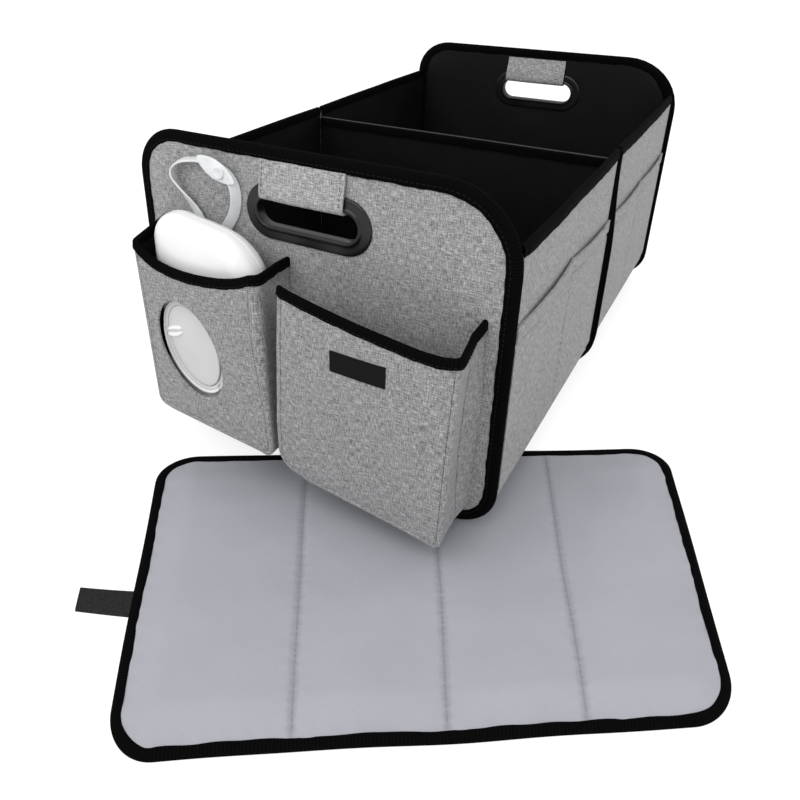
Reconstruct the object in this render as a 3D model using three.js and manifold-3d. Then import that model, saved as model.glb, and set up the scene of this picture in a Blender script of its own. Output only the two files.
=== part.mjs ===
import * as THREE from 'three';
import { mergeVertices } from 'three/addons/utils/BufferGeometryUtils.js';
import Module from 'manifold-3d';

const wasm = await Module();
wasm.setup();

// Folding trunk organizer with a wipes case in its left pocket and a padded mat.
// Millimetres. X runs across the width, Y from the front panel to the rear panel, Z up.
// The origin is on the ground under the middle of the organizer.

// Organizer, overall
const OVERALL_WIDTH = 358;
const OVERALL_LENGTH = 588;
const OVERALL_HEIGHT = 304;

// Clearances and cloth
const FIT = 0.3;
const SEAM_GAP = 0.5;
const TAPE_THICKNESS = 1;
const TAPE_LEAF = 12;
const LINER_THICKNESS = 0.8;
const POCKET_CLOTH = 2;
const ARC_STEPS = 8;
const STRAIGHT_END = 0.01;

// Hook strips on the underside, which the organizer stands on, and the gap that they
// leave between the ground and the tapes
const GROUND_CLEARANCE = 3;
const STRIP_WIDTH = 25;
const STRIP_LENGTH = 140;
const CENTRE_STRIP_LENGTH = 94;
const CENTRE_STRIP_SIDEWAYS = -47;
const STRIP_FROM_END_PANEL = 95;
const STRIP_SIDEWAYS = 95;
const STRIP_CORNER_RADIUS = 5;

// End panels
const BOARD_THICKNESS = 3.2;
const PANEL_TOP_LEFT_RADIUS = 42;
const PANEL_TOP_RIGHT_RADIUS = 62;
const PANEL_BOTTOM_RADIUS = 38;

// Handle slots
const HANDLE_FROM_TOP = 54;
const SLOT_WIDTH = 99;
const SLOT_HEIGHT = 28;
const GROMMET_SLEEVE = 2;
const GROMMET_FLANGE_WIDTH = 10.5;
const GROMMET_FLANGE_THICKNESS = 2.5;
const WRAP_WIDTH = 82;
const WRAP_THICKNESS = 2.4;

// Side walls and their pockets
const SIDE_DROP = 42;
const SIDE_THICKNESS = 3.2;
const SIDE_TAPE_LEAF = 9;
const SIDE_POCKET_HEIGHT = 115;
const SIDE_POCKET_DROP = 60;
const SIDE_POCKET_MOUTH = 6;
const SIDE_POCKET_CLOTH = 1.2;
const SIDE_POCKET_MARGIN = 7;
const FOLD_GAP = 0.6;

// Divider
const DIVIDER_DROP = 54;
const DIVIDER_THICKNESS = 3.2;
const DIVIDER_TAPE_LEAF = 9;
const SEAM_TAPE_WIDTH = 10;

// Front pockets
const POCKET_DEPTH = 56;
const POCKET_DROP = 94;
const POCKET_TOP_SAG = 12;
const POCKET_TAPE_LEAF = 9;
const POCKET_CORNER_RADIUS = 22;
const WIDE_POCKET_BOTTOM = 31;
const WIDE_POCKET_LEFT = 3;
const WIDE_POCKET_RIGHT = 161;
const WIDE_POCKET_GUSSET_TAPER = 4;
const WIPES_POCKET_BOTTOM = 45;
const WIPES_POCKET_LEFT = -141;
const WIPES_POCKET_RIGHT = -14;
const WIPES_POCKET_GUSSET_SPREAD = 22;
const POCKET_EDGE_ROUND = 5;
const WINDOW_X = -87;
const WINDOW_Z = 131;
const WINDOW_WIDTH = 64;
const WINDOW_HEIGHT = 92;
const WINDOW_TILT = 22;
const LABEL_X = 79;
const LABEL_Z = 165;
const LABEL_WIDTH = 48;
const LABEL_HEIGHT = 18;
const LABEL_THICKNESS = 0.8;

// Wipes case
const CASE_WIDTH = 118;
const CASE_HEIGHT = 197;
const CASE_DEPTH = 42;
const CASE_CORNER_RADIUS = 36;
const CASE_EDGE_ROUND = 14;
const CASE_WALL = 2;
const CASE_X = -78;
const LID_WIDTH = 50;
const LID_HEIGHT = 78;
const LID_THICKNESS = 2.2;
const LID_X = -88;
const LID_TO_CLOTH = 3.2;
const THUMB_TAB_WIDTH = 12;
const THUMB_TAB_HEIGHT = 7;
const THUMB_TAB_PROUD = 1.4;
const THUMB_TAB_FROM_EDGE = 9;
const DISPENSING_WIDTH = 30;
const DISPENSING_HEIGHT = 42;

// Strap of the wipes case
const STRAP_WIDTH = 6;
const STRAP_THICKNESS = 2.2;
const STRAP_LOOP_X = -99;
const STRAP_LOOP_Z = 256;
const STRAP_LOOP_WIDTH = 66;
const STRAP_LOOP_HEIGHT = 46;
const STRAP_TILT = -14;
const STRAP_NECK_Z = 205;
const STRAP_START_ANGLE = 235;
const STRAP_SWEEP_ANGLE = 290;
const SNAP_LENGTH = 42;
const SNAP_WIDTH = 15;
const SNAP_THICKNESS = 2.4;
const SNAP_X = -86;
const SNAP_Z = 277;
const SNAP_TILT = -18;

// Padded mat
const MAT_NEAR_WIDTH = 406;
const MAT_FAR_WIDTH = 491;
const MAT_LEFT_DEPTH = 291;
const MAT_RIGHT_DEPTH = 276;
const MAT_SKEW = 28;
const MAT_CORNER_RADIUS = 34;
const MAT_RIM_WIDTH = 8;
const MAT_RIM_THICKNESS = 2.5;
const MAT_SEAMS = [-97, 14, 114];
const MAT_PANEL_COLUMNS = 8;
const MAT_CROWN = 8.5;
const MAT_SEAM_HEIGHT = 3.2;
const MAT_EDGE_HEIGHT = 2.2;
const MAT_PRESSED_HEIGHT = 2.4;
const MAT_X = 143.8;
const MAT_Y = -355.7;
const MAT_TURN = 33.4;
const MAT_PRESS_MARGIN = 16;
const MAT_PRESS_SLOPE = 0.3;
const MAT_TAB_LENGTH = 46;
const MAT_TAB_WIDTH = 24;
const MAT_TAB_THICKNESS = 1.6;
const MAT_TAB_FROM_FRONT = 118;

// Sizes that follow from the driving ones
const TAPE_STANDOFF = TAPE_THICKNESS + FIT;
const BOARD_HALF_WIDTH = OVERALL_WIDTH / 2 - TAPE_STANDOFF;
const BOARD_BOTTOM = GROUND_CLEARANCE + TAPE_STANDOFF;
const BOARD_TOP = OVERALL_HEIGHT - TAPE_STANDOFF;
const BOARD_FACE = TAPE_STANDOFF;
const LINER_FACE = BOARD_FACE + BOARD_THICKNESS + FIT;
const LINER_BACK = LINER_FACE + LINER_THICKNESS;
const PANEL_BACK = LINER_BACK + TAPE_STANDOFF;
const FRONT_Y = -OVERALL_LENGTH / 2;
const HANDLE_HEIGHT = OVERALL_HEIGHT - HANDLE_FROM_TOP;
const SIDE_HEIGHT = OVERALL_HEIGHT - SIDE_DROP;
const SIDE_POCKET_TOP = SIDE_HEIGHT - SIDE_POCKET_DROP;
const SIDE_POCKET_BOTTOM = SIDE_POCKET_TOP - SIDE_POCKET_HEIGHT;
const DIVIDER_HEIGHT = OVERALL_HEIGHT - DIVIDER_DROP;
const POCKET_CORNER_TOP = OVERALL_HEIGHT - POCKET_DROP;
const SIDE_BOTTOM = BOARD_BOTTOM + PANEL_BOTTOM_RADIUS + FIT;
const SIDE_OUTER_X = BOARD_HALF_WIDTH;
const SIDE_MIDDLE_X = SIDE_OUTER_X - SIDE_THICKNESS / 2;
const DIVIDER_HALF = DIVIDER_THICKNESS / 2 + TAPE_STANDOFF;
const SIDE_START = PANEL_BACK + SEAM_GAP;
const COMPARTMENT_LENGTH = OVERALL_LENGTH / 2 - SIDE_START - DIVIDER_HALF - SEAM_GAP;
const QUARTER_LENGTH = (COMPARTMENT_LENGTH - FOLD_GAP) / 2;
const POCKET_FRONT_Y = FRONT_Y - POCKET_DEPTH;
const MAT_WIDTH = (MAT_NEAR_WIDTH + MAT_FAR_WIDTH) / 2;
const MAT_DEPTH = (MAT_LEFT_DEPTH + MAT_RIGHT_DEPTH) / 2;
const POCKET_BACK_Y = FRONT_Y + BOARD_FACE - FIT;

const MATERIALS = {
  greyCloth: { color: 0x87888b, roughness: 0.95, metalness: 0 },
  blackTape: { color: 0x141415, roughness: 0.8, metalness: 0 },
  blackLiner: { color: 0x0c0c0d, roughness: 0.55, metalness: 0 },
  blackPlastic: { color: 0x101011, roughness: 0.3, metalness: 0 },
  whitePlastic: { color: 0xf4f4f2, roughness: 0.35, metalness: 0 },
  clearSilicone: { color: 0xdfe2e2, roughness: 0.4, metalness: 0 },
  matCloth: { color: 0xa9abb2, roughness: 0.7, metalness: 0 },
  hookStrip: { color: 0x1c1c1d, roughness: 0.9, metalness: 0 },
};

function addPiece(group, name, geometry, finish) {
  const mesh = new THREE.Mesh(geometry, new THREE.MeshStandardMaterial(MATERIALS[finish]));
  mesh.name = name;
  group.add(mesh);
  return mesh;
}

// Points of a quarter turn, counter-clockwise from a start angle in degrees
function quarterArc(centreX, centreZ, radius, startDegrees, steps = ARC_STEPS) {
  const points = [];
  for (let step = 0; step <= steps; step += 1) {
    const angle = THREE.MathUtils.degToRad(startDegrees + 90 * step / steps);
    points.push(new THREE.Vector2(centreX + radius * Math.cos(angle), centreZ + radius * Math.sin(angle)));
  }
  return points;
}

// Rounded rectangle about a centre
function roundedRectangle(width, height, radius, centreX = 0, centreZ = 0, steps = ARC_STEPS) {
  const reachX = width / 2 - radius;
  const reachZ = height / 2 - radius;
  return [
    ...quarterArc(centreX + reachX, centreZ - reachZ, radius, -90, steps),
    ...quarterArc(centreX + reachX, centreZ + reachZ, radius, 0, steps),
    ...quarterArc(centreX - reachX, centreZ + reachZ, radius, 90, steps),
    ...quarterArc(centreX - reachX, centreZ - reachZ, radius, 180, steps),
  ];
}

// Points of an ellipse, turned by a tilt in degrees
function ellipsePoints(width, height, centreX, centreZ, steps, tilt = 0) {
  const points = [];
  const turn = THREE.MathUtils.degToRad(tilt);
  for (let step = 0; step < steps; step += 1) {
    const angle = 2 * Math.PI * step / steps;
    const point = new THREE.Vector2(width / 2 * Math.cos(angle), height / 2 * Math.sin(angle));
    point.rotateAround(new THREE.Vector2(0, 0), turn);
    points.push(point.add(new THREE.Vector2(centreX, centreZ)));
  }
  return points;
}

// Outline of an end board, grown by an offset. The rear one is turned round, so its top
// corners swap places to lie on the same sides as those of the front one.
function endOutline(end, offset) {
  const half = BOARD_HALF_WIDTH + offset;
  const low = BOARD_BOTTOM - offset;
  const high = BOARD_TOP + offset;
  const radii = [PANEL_TOP_LEFT_RADIUS + offset, PANEL_TOP_RIGHT_RADIUS + offset];
  const [left, right] = end === 'front' ? radii : radii.reverse();
  const bottomRadius = PANEL_BOTTOM_RADIUS + offset;
  return [
    ...quarterArc(half - bottomRadius, low + bottomRadius, bottomRadius, -90),
    ...quarterArc(half - right, high - right, right, 0),
    ...quarterArc(-half + left, high - left, left, 90),
    ...quarterArc(-half + bottomRadius, low + bottomRadius, bottomRadius, 180),
  ];
}

// Outline of a handle slot, grown by an offset. The short straight ends keep its arcs apart.
function slotOutline(offset) {
  const radius = SLOT_HEIGHT / 2 + offset;
  return roundedRectangle(SLOT_WIDTH + 2 * offset, 2 * radius, radius - STRAIGHT_END, 0, HANDLE_HEIGHT);
}

// The U that side walls and floor make: down one side, under the floor and up the other
function trayOutline(offset, top) {
  const half = BOARD_HALF_WIDTH + offset;
  const radius = PANEL_BOTTOM_RADIUS + offset;
  const low = BOARD_BOTTOM - offset;
  return [
    new THREE.Vector2(-half, top),
    ...quarterArc(-half + radius, low + radius, radius, 180),
    ...quarterArc(half - radius, low + radius, radius, -90),
    new THREE.Vector2(half, top),
  ];
}

function shapeWithHoles(points, holes = []) {
  const shape = new THREE.Shape(points);
  for (const hole of holes) {
    shape.holes.push(new THREE.Path(hole));
  }
  return shape;
}

function extrude(shape, depth) {
  return new THREE.ExtrudeGeometry(shape, { depth, bevelEnabled: false });
}

// A shape drawn in X and Z, extruded from low Y to high Y
function extrudeAlongY(shape, lowY, highY) {
  const geometry = extrude(shape, highY - lowY);
  geometry.rotateX(Math.PI / 2);
  geometry.translate(0, highY, 0);
  return geometry;
}

// A shape drawn in X and Y, extruded from low Z to high Z
function extrudeAlongZ(shape, lowZ, highZ) {
  const geometry = extrude(shape, highZ - lowZ);
  geometry.translate(0, 0, lowZ);
  return geometry;
}

// A shape drawn in Y and Z, extruded along X about the middle
function extrudeAlongX(shape, width) {
  const geometry = extrude(shape, width);
  const turn = new THREE.Matrix4().makeBasis(
    new THREE.Vector3(0, 1, 0),
    new THREE.Vector3(0, 0, 1),
    new THREE.Vector3(1, 0, 0),
  );
  geometry.applyMatrix4(turn);
  geometry.translate(-width / 2, 0, 0);
  return geometry;
}

// Turns every face outward, judged by the sign of the enclosed volume
function closedGeometry(positions, triangles) {
  let volume = 0;
  const [a, b, c] = [new THREE.Vector3(), new THREE.Vector3(), new THREE.Vector3()];
  for (let face = 0; face < triangles.length; face += 3) {
    a.fromArray(positions, 3 * triangles[face]);
    b.fromArray(positions, 3 * triangles[face + 1]);
    c.fromArray(positions, 3 * triangles[face + 2]);
    volume += a.dot(b.cross(c));
  }
  if (volume < 0) {
    triangles.reverse();
  }
  const geometry = new THREE.BufferGeometry();
  geometry.setAttribute('position', new THREE.Float32BufferAttribute(positions, 3));
  geometry.setIndex(triangles);
  return geometry;
}

// A closed ring: loops of equally many points, joined in order and back to the first
function sweptRing(loops) {
  const count = loops[0].points.length;
  const positions = [];
  for (const loop of loops) {
    for (const point of loop.points) {
      positions.push(point.x, loop.y, point.y);
    }
  }
  const triangles = [];
  for (let ring = 0; ring < loops.length; ring += 1) {
    const here = ring * count;
    const next = (ring + 1) % loops.length * count;
    for (let index = 0; index < count; index += 1) {
      const after = (index + 1) % count;
      triangles.push(here + index, here + after, next + after);
      triangles.push(here + index, next + after, next + index);
    }
  }
  return closedGeometry(positions, triangles);
}

function toSolid(geometry) {
  const bare = geometry.clone();
  bare.deleteAttribute('normal');
  bare.deleteAttribute('uv');
  const merged = mergeVertices(bare, 1e-4);
  return new wasm.Manifold(new wasm.Mesh({
    numProp: 3,
    vertProperties: new Float32Array(merged.attributes.position.array),
    triVerts: new Uint32Array(merged.index.array),
  }));
}

function toGeometry(solid) {
  const mesh = solid.getMesh();
  const geometry = new THREE.BufferGeometry();
  geometry.setAttribute('position', new THREE.BufferAttribute(new Float32Array(mesh.vertProperties), 3));
  geometry.setIndex(new THREE.BufferAttribute(new Uint32Array(mesh.triVerts), 1));
  return geometry;
}

function boxBetween(low, high) {
  const geometry = new THREE.BoxGeometry(high[0] - low[0], high[1] - low[1], high[2] - low[2]);
  geometry.translate((low[0] + high[0]) / 2, (low[1] + high[1]) / 2, (low[2] + high[2]) / 2);
  return geometry;
}

// Tape folded over an edge: a channel of two leaves and a back, open downward
function tapeChannel(thickness, leaf) {
  const inner = thickness / 2 + FIT;
  const outer = inner + TAPE_THICKNESS;
  return new THREE.Shape([
    new THREE.Vector2(-outer, -leaf),
    new THREE.Vector2(-inner, -leaf),
    new THREE.Vector2(-inner, FIT),
    new THREE.Vector2(inner, FIT),
    new THREE.Vector2(inner, -leaf),
    new THREE.Vector2(outer, -leaf),
    new THREE.Vector2(outer, TAPE_STANDOFF),
    new THREE.Vector2(-outer, TAPE_STANDOFF),
  ]);
}

// End panel: local Y is 0 at the outermost face of the tape and grows inward.

function bindingRing(end) {
  return sweptRing([
    { points: endOutline(end, TAPE_STANDOFF), y: 0 },
    { points: endOutline(end, TAPE_STANDOFF), y: PANEL_BACK },
    { points: endOutline(end, -TAPE_LEAF), y: PANEL_BACK },
    { points: endOutline(end, -TAPE_LEAF), y: LINER_BACK + FIT },
    { points: endOutline(end, FIT), y: LINER_BACK + FIT },
    { points: endOutline(end, FIT), y: BOARD_FACE - FIT },
    { points: endOutline(end, -TAPE_LEAF), y: BOARD_FACE - FIT },
    { points: endOutline(end, -TAPE_LEAF), y: 0 },
  ]);
}

const FLANGE_BACK = BOARD_FACE - FIT;
const FLANGE_FRONT = FLANGE_BACK - GROMMET_FLANGE_THICKNESS;
const RING_FRONT = LINER_BACK + FIT;
const RING_BACK = RING_FRONT + GROMMET_FLANGE_THICKNESS;

function grommetFlange() {
  return sweptRing([
    { points: slotOutline(0), y: FLANGE_FRONT },
    { points: slotOutline(GROMMET_FLANGE_WIDTH), y: FLANGE_FRONT },
    { points: slotOutline(GROMMET_FLANGE_WIDTH), y: FLANGE_BACK },
    { points: slotOutline(GROMMET_SLEEVE), y: FLANGE_BACK },
    { points: slotOutline(GROMMET_SLEEVE), y: RING_BACK },
    { points: slotOutline(0), y: RING_BACK },
  ]);
}

function grommetRing() {
  return sweptRing([
    { points: slotOutline(GROMMET_SLEEVE + FIT), y: RING_FRONT },
    { points: slotOutline(GROMMET_FLANGE_WIDTH), y: RING_FRONT },
    { points: slotOutline(GROMMET_FLANGE_WIDTH), y: RING_BACK },
    { points: slotOutline(GROMMET_SLEEVE + FIT), y: RING_BACK },
  ]);
}

// Padded cloth round the hand grip, in through the slot and up both faces to the tape
function handleWrap() {
  const slotRadius = SLOT_HEIGHT / 2;
  const pastStraight = Math.max(0, WRAP_WIDTH / 2 - (SLOT_WIDTH / 2 - slotRadius));
  const under = HANDLE_HEIGHT + Math.sqrt(slotRadius ** 2 - pastStraight ** 2) - FIT;
  const flangeTop = HANDLE_HEIGHT + slotRadius + GROMMET_FLANGE_WIDTH + FIT;
  const bend = flangeTop + WRAP_THICKNESS;
  const top = BOARD_TOP - TAPE_LEAF - FIT;
  const front = FLANGE_FRONT - FIT;
  const back = RING_BACK + FIT;
  const outline = [
    [front - WRAP_THICKNESS, under - WRAP_THICKNESS],
    [back + WRAP_THICKNESS, under - WRAP_THICKNESS],
    [back + WRAP_THICKNESS, bend],
    [LINER_BACK + FIT + WRAP_THICKNESS, top],
    [LINER_BACK + FIT, top],
    [LINER_BACK + FIT, flangeTop],
    [back, flangeTop],
    [back, under],
    [front, under],
    [front, flangeTop],
    [BOARD_FACE - FIT, flangeTop],
    [BOARD_FACE - FIT, top],
    [BOARD_FACE - FIT - WRAP_THICKNESS, top],
    [front - WRAP_THICKNESS, bend],
  ];
  return extrudeAlongX(new THREE.Shape(outline.map(([y, z]) => new THREE.Vector2(y, z))), WRAP_WIDTH);
}

function endPanel(end) {
  const group = new THREE.Group();
  const hole = slotOutline(GROMMET_SLEEVE + FIT);
  const sheet = shapeWithHoles(endOutline(end, 0), [hole]);
  const boardGeometry = extrudeAlongY(sheet, BOARD_FACE, BOARD_FACE + BOARD_THICKNESS);
  addPiece(group, `${end}_panel`, boardGeometry, 'greyCloth');
  addPiece(group, `${end}_liner`, extrudeAlongY(sheet, LINER_FACE, LINER_BACK), 'blackLiner');
  addPiece(group, `${end}_binding`, bindingRing(end), 'blackTape');
  addPiece(group, `${end}_grommet`, grommetFlange(), 'blackPlastic');
  addPiece(group, `${end}_grommet_ring`, grommetRing(), 'blackPlastic');
  addPiece(group, `${end}_handle_wrap`, handleWrap(), 'greyCloth');
  return group;
}

// Floor of one compartment with its turned-up edges, and two hook strips under it.
// Local Y is 0 at the outer face of its end panel and grows inward.
function compartmentFloor(end) {
  const group = new THREE.Group();
  const top = SIDE_BOTTOM - FIT;
  const section = [...trayOutline(0, top), ...trayOutline(-SIDE_THICKNESS, top).reverse()];
  const floorEnd = OVERALL_LENGTH / 2 - DIVIDER_HALF - FIT;
  const floor = extrudeAlongY(new THREE.Shape(section), PANEL_BACK + FIT, floorEnd);
  addPiece(group, `${end}_floor`, floor, 'blackLiner');
  for (const [side, sign] of [['left', -1], ['right', 1]]) {
    const outline = roundedRectangle(STRIP_WIDTH, STRIP_LENGTH, STRIP_CORNER_RADIUS, 0, 0, 3);
    const strip = extrudeAlongZ(new THREE.Shape(outline), 0, BOARD_BOTTOM - FIT);
    const mesh = addPiece(group, `${end}_hook_strip_${side}`, strip, 'hookStrip');
    mesh.position.set(sign * STRIP_SIDEWAYS, STRIP_FROM_END_PANEL + STRIP_LENGTH / 2, 0);
  }
  return group;
}

// One side wall quarter, its top tape and its pocket, about the middle of its length
function sideQuarter(name, sign) {
  const group = new THREE.Group();
  const height = SIDE_HEIGHT - SIDE_BOTTOM;
  const wall = addPiece(
    group,
    `${name}_wall`,
    new THREE.BoxGeometry(SIDE_THICKNESS, QUARTER_LENGTH, height),
    'greyCloth',
  );
  wall.position.set(sign * SIDE_MIDDLE_X, 0, SIDE_BOTTOM + height / 2);
  const half = QUARTER_LENGTH / 2;
  const tape = extrudeAlongY(tapeChannel(SIDE_THICKNESS, SIDE_TAPE_LEAF), -half, half);
  const top = addPiece(group, `${name}_top_tape`, tape, 'blackTape');
  top.position.set(sign * SIDE_MIDDLE_X, 0, SIDE_HEIGHT);
  const near = SIDE_OUTER_X + FIT;
  const slab = [
    [near, SIDE_POCKET_BOTTOM],
    [near + SIDE_POCKET_CLOTH, SIDE_POCKET_BOTTOM],
    [near + SIDE_POCKET_MOUTH + SIDE_POCKET_CLOTH, SIDE_POCKET_TOP],
    [near + SIDE_POCKET_MOUTH, SIDE_POCKET_TOP],
  ];
  const face = new THREE.Shape(slab.map(([x, z]) => new THREE.Vector2(sign * x, z)));
  const reach = half - SIDE_POCKET_MARGIN;
  addPiece(group, `${name}_pocket`, extrudeAlongY(face, -reach, reach), 'greyCloth');
  return group;
}

// Upright divider between the two compartments, with the tape that covers its seam outside
function divider() {
  const group = new THREE.Group();
  const board = new THREE.Shape(trayOutline(0, DIVIDER_HEIGHT));
  const half = DIVIDER_THICKNESS / 2;
  addPiece(group, 'divider_board', extrudeAlongY(board, -half, half), 'blackLiner');
  const tapeLength = 2 * (SIDE_OUTER_X - SIDE_THICKNESS - TAPE_STANDOFF);
  const tape = addPiece(
    group,
    'divider_top_tape',
    extrudeAlongX(tapeChannel(DIVIDER_THICKNESS, DIVIDER_TAPE_LEAF), tapeLength),
    'blackTape',
  );
  tape.position.z = DIVIDER_HEIGHT;
  const seamTop = SIDE_HEIGHT - SIDE_TAPE_LEAF - FIT;
  const section = [
    ...trayOutline(TAPE_STANDOFF, seamTop),
    ...trayOutline(FIT, seamTop).reverse(),
  ];
  const reach = SEAM_TAPE_WIDTH / 2;
  addPiece(group, 'divider_seam_tape', extrudeAlongY(new THREE.Shape(section), -reach, reach), 'blackTape');
  const stripOutline = roundedRectangle(CENTRE_STRIP_LENGTH, STRIP_WIDTH, STRIP_CORNER_RADIUS, 0, 0, 3);
  const strip = extrudeAlongZ(new THREE.Shape(stripOutline), 0, GROUND_CLEARANCE - FIT);
  const stripMesh = addPiece(group, 'divider_hook_strip', strip, 'hookStrip');
  stripMesh.position.x = CENTRE_STRIP_SIDEWAYS;
  return group;
}

// Height of a front pocket's top edge across its front face, which sags in the middle
function pocketTopCurve(left, right, lift) {
  const points = [];
  const steps = 12;
  for (let step = 0; step <= steps; step += 1) {
    const along = step / steps;
    const sag = POCKET_TOP_SAG * Math.sin(Math.PI * along);
    points.push(new THREE.Vector2(left + (right - left) * along, POCKET_CORNER_TOP - sag + lift));
  }
  return points;
}

// Region under the top curve, and above a lower limit, as a solid across the pocket's depth
function underTopCurve(left, right, lift, lowerPoints) {
  const wide = OVERALL_WIDTH;
  const end = POCKET_CORNER_TOP + lift;
  const upper = [
    new THREE.Vector2(left - wide, end),
    ...pocketTopCurve(left, right, lift),
    new THREE.Vector2(right + wide, end),
  ];
  const shape = new THREE.Shape([...lowerPoints, ...upper.reverse()]);
  return toSolid(extrudeAlongY(shape, POCKET_FRONT_Y - POCKET_DEPTH, FRONT_Y + POCKET_DEPTH));
}

// Plan of the cloth of a pocket, three sides of a box whose back is the end panel
function pocketPlan({ left, right }, grow, backY) {
  const round = POCKET_EDGE_ROUND;
  const arcSteps = 2;
  const front = POCKET_FRONT_Y - grow;
  return new THREE.Shape([
    new THREE.Vector2(left - grow, backY),
    ...quarterArc(left - grow + round, front + round, round, 180, arcSteps),
    ...quarterArc(right + grow - round, front + round, round, -90, arcSteps),
    new THREE.Vector2(right + grow, backY),
  ]);
}

// A pocket seen from the front, with its lower corners round, as a solid across its depth
function pocketElevation({ left, right, bottom }, grow, top) {
  const radius = POCKET_CORNER_RADIUS + grow;
  const arcSteps = 6;
  const low = bottom - grow;
  const shape = new THREE.Shape([
    new THREE.Vector2(left - grow, top),
    ...quarterArc(left - grow + radius, low + radius, radius, 180, arcSteps),
    ...quarterArc(right + grow - radius, low + radius, radius, -90, arcSteps),
    new THREE.Vector2(right + grow, top),
  ]);
  return toSolid(extrudeAlongY(shape, POCKET_FRONT_Y - POCKET_DEPTH, FRONT_Y + 2 * POCKET_DEPTH));
}

// Leans a pocket's two gussets, so that their back edges lie at other places than their front
function leanGussets(geometry, { left, right, backLeft, backRight }) {
  const position = geometry.attributes.position;
  for (let index = 0; index < position.count; index += 1) {
    const x = position.getX(index);
    const across = (x - left) / (right - left);
    const inward = (position.getY(index) - POCKET_FRONT_Y) / (POCKET_BACK_Y - POCKET_FRONT_Y);
    const lean = (1 - across) * (backLeft - left) + across * (backRight - right);
    position.setX(index, x + inward * lean);
  }
  return geometry;
}

function pocketPieces(group, name, pocket, cuts) {
  const { left, right } = pocket;
  const beyond = POCKET_BACK_Y + POCKET_DEPTH;
  const furtherBeyond = beyond + POCKET_DEPTH;
  const high = POCKET_CORNER_TOP + POCKET_DEPTH;
  const higher = high + POCKET_DEPTH;
  const upright = (grow, backY, top) => toSolid(extrudeAlongZ(pocketPlan(pocket, grow, backY), 0, top));
  const below = [
    new THREE.Vector2(left - OVERALL_WIDTH, 0),
    new THREE.Vector2(right + OVERALL_WIDTH, 0),
  ];
  const outer = upright(0, POCKET_BACK_Y, high).intersect(pocketElevation(pocket, 0, high));
  const inner = upright(-POCKET_CLOTH, beyond, higher)
    .intersect(pocketElevation(pocket, -POCKET_CLOTH, higher));
  let cloth = outer.subtract(inner).intersect(underTopCurve(left, right, 0, below));
  for (const cut of cuts) {
    cloth = cloth.subtract(cut);
  }
  addPiece(group, name, leanGussets(toGeometry(cloth), pocket), 'greyCloth');

  const lowEdge = [
    new THREE.Vector2(left - OVERALL_WIDTH, POCKET_CORNER_TOP - POCKET_TAPE_LEAF),
    ...pocketTopCurve(left, right, -POCKET_TAPE_LEAF),
    new THREE.Vector2(right + OVERALL_WIDTH, POCKET_CORNER_TOP - POCKET_TAPE_LEAF),
  ];
  const outside = upright(TAPE_STANDOFF, POCKET_BACK_Y, high);
  const hollow = upright(-POCKET_CLOTH - TAPE_STANDOFF, beyond, higher);
  const slotOuter = upright(FIT, beyond, high);
  const slotInner = upright(-POCKET_CLOTH - FIT, furtherBeyond, high);
  const band = outside.subtract(hollow).intersect(underTopCurve(left, right, TAPE_STANDOFF, lowEdge));
  const slot = slotOuter.subtract(slotInner).intersect(underTopCurve(left, right, FIT, below));
  const tape = toGeometry(band.subtract(slot));
  addPiece(group, `${name}_tape`, leanGussets(tape, pocket), 'blackTape');
}

function frontPockets() {
  const group = new THREE.Group();
  const windowPoints = ellipsePoints(WINDOW_WIDTH, WINDOW_HEIGHT, WINDOW_X, WINDOW_Z, 32, WINDOW_TILT);
  const windowCut = toSolid(extrudeAlongY(
    new THREE.Shape(windowPoints),
    POCKET_FRONT_Y - POCKET_CLOTH,
    POCKET_FRONT_Y + 2 * POCKET_CLOTH,
  ));
  const wipesPocket = {
    left: WIPES_POCKET_LEFT,
    right: WIPES_POCKET_RIGHT,
    backLeft: WIPES_POCKET_LEFT - WIPES_POCKET_GUSSET_SPREAD,
    backRight: WIPES_POCKET_RIGHT,
    bottom: WIPES_POCKET_BOTTOM,
  };
  const widePocket = {
    left: WIDE_POCKET_LEFT,
    right: WIDE_POCKET_RIGHT,
    backLeft: WIDE_POCKET_LEFT,
    backRight: WIDE_POCKET_RIGHT - WIDE_POCKET_GUSSET_TAPER,
    bottom: WIDE_POCKET_BOTTOM,
  };
  pocketPieces(group, 'wipes_pocket', wipesPocket, [windowCut]);
  pocketPieces(group, 'wide_pocket', widePocket, []);
  const label = addPiece(
    group,
    'blank_label',
    new THREE.BoxGeometry(LABEL_WIDTH, LABEL_THICKNESS, LABEL_HEIGHT),
    'blackTape',
  );
  label.position.set(LABEL_X, POCKET_FRONT_Y - FIT - LABEL_THICKNESS / 2, LABEL_Z);
  return group;
}

// Wipes case, about the middle of its footprint; local Y is 0 at its middle plane.
function caseBody(shrink) {
  const round = CASE_EDGE_ROUND - shrink;
  const outline = roundedRectangle(
    CASE_WIDTH - 2 * CASE_EDGE_ROUND,
    CASE_HEIGHT - 2 * CASE_EDGE_ROUND,
    CASE_CORNER_RADIUS - CASE_EDGE_ROUND,
    0,
    CASE_HEIGHT / 2,
    5,
  );
  const depth = CASE_DEPTH - 2 * CASE_EDGE_ROUND;
  const geometry = new THREE.ExtrudeGeometry(new THREE.Shape(outline), {
    depth,
    bevelEnabled: true,
    bevelThickness: round,
    bevelSize: round,
    bevelSegments: 4,
  });
  geometry.rotateX(Math.PI / 2);
  geometry.translate(0, depth / 2, 0);
  return toSolid(geometry);
}

const CASE_BOTTOM = WIPES_POCKET_BOTTOM + POCKET_CLOTH + FIT;
const LID_FRONT_Y = POCKET_FRONT_Y + LID_TO_CLOTH + POCKET_CLOTH;
const CASE_FRONT_Y = LID_FRONT_Y + LID_THICKNESS + FIT;
const CASE_Y = CASE_FRONT_Y + CASE_DEPTH / 2;
const CASE_BACK_Y = CASE_FRONT_Y + CASE_DEPTH;

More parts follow.
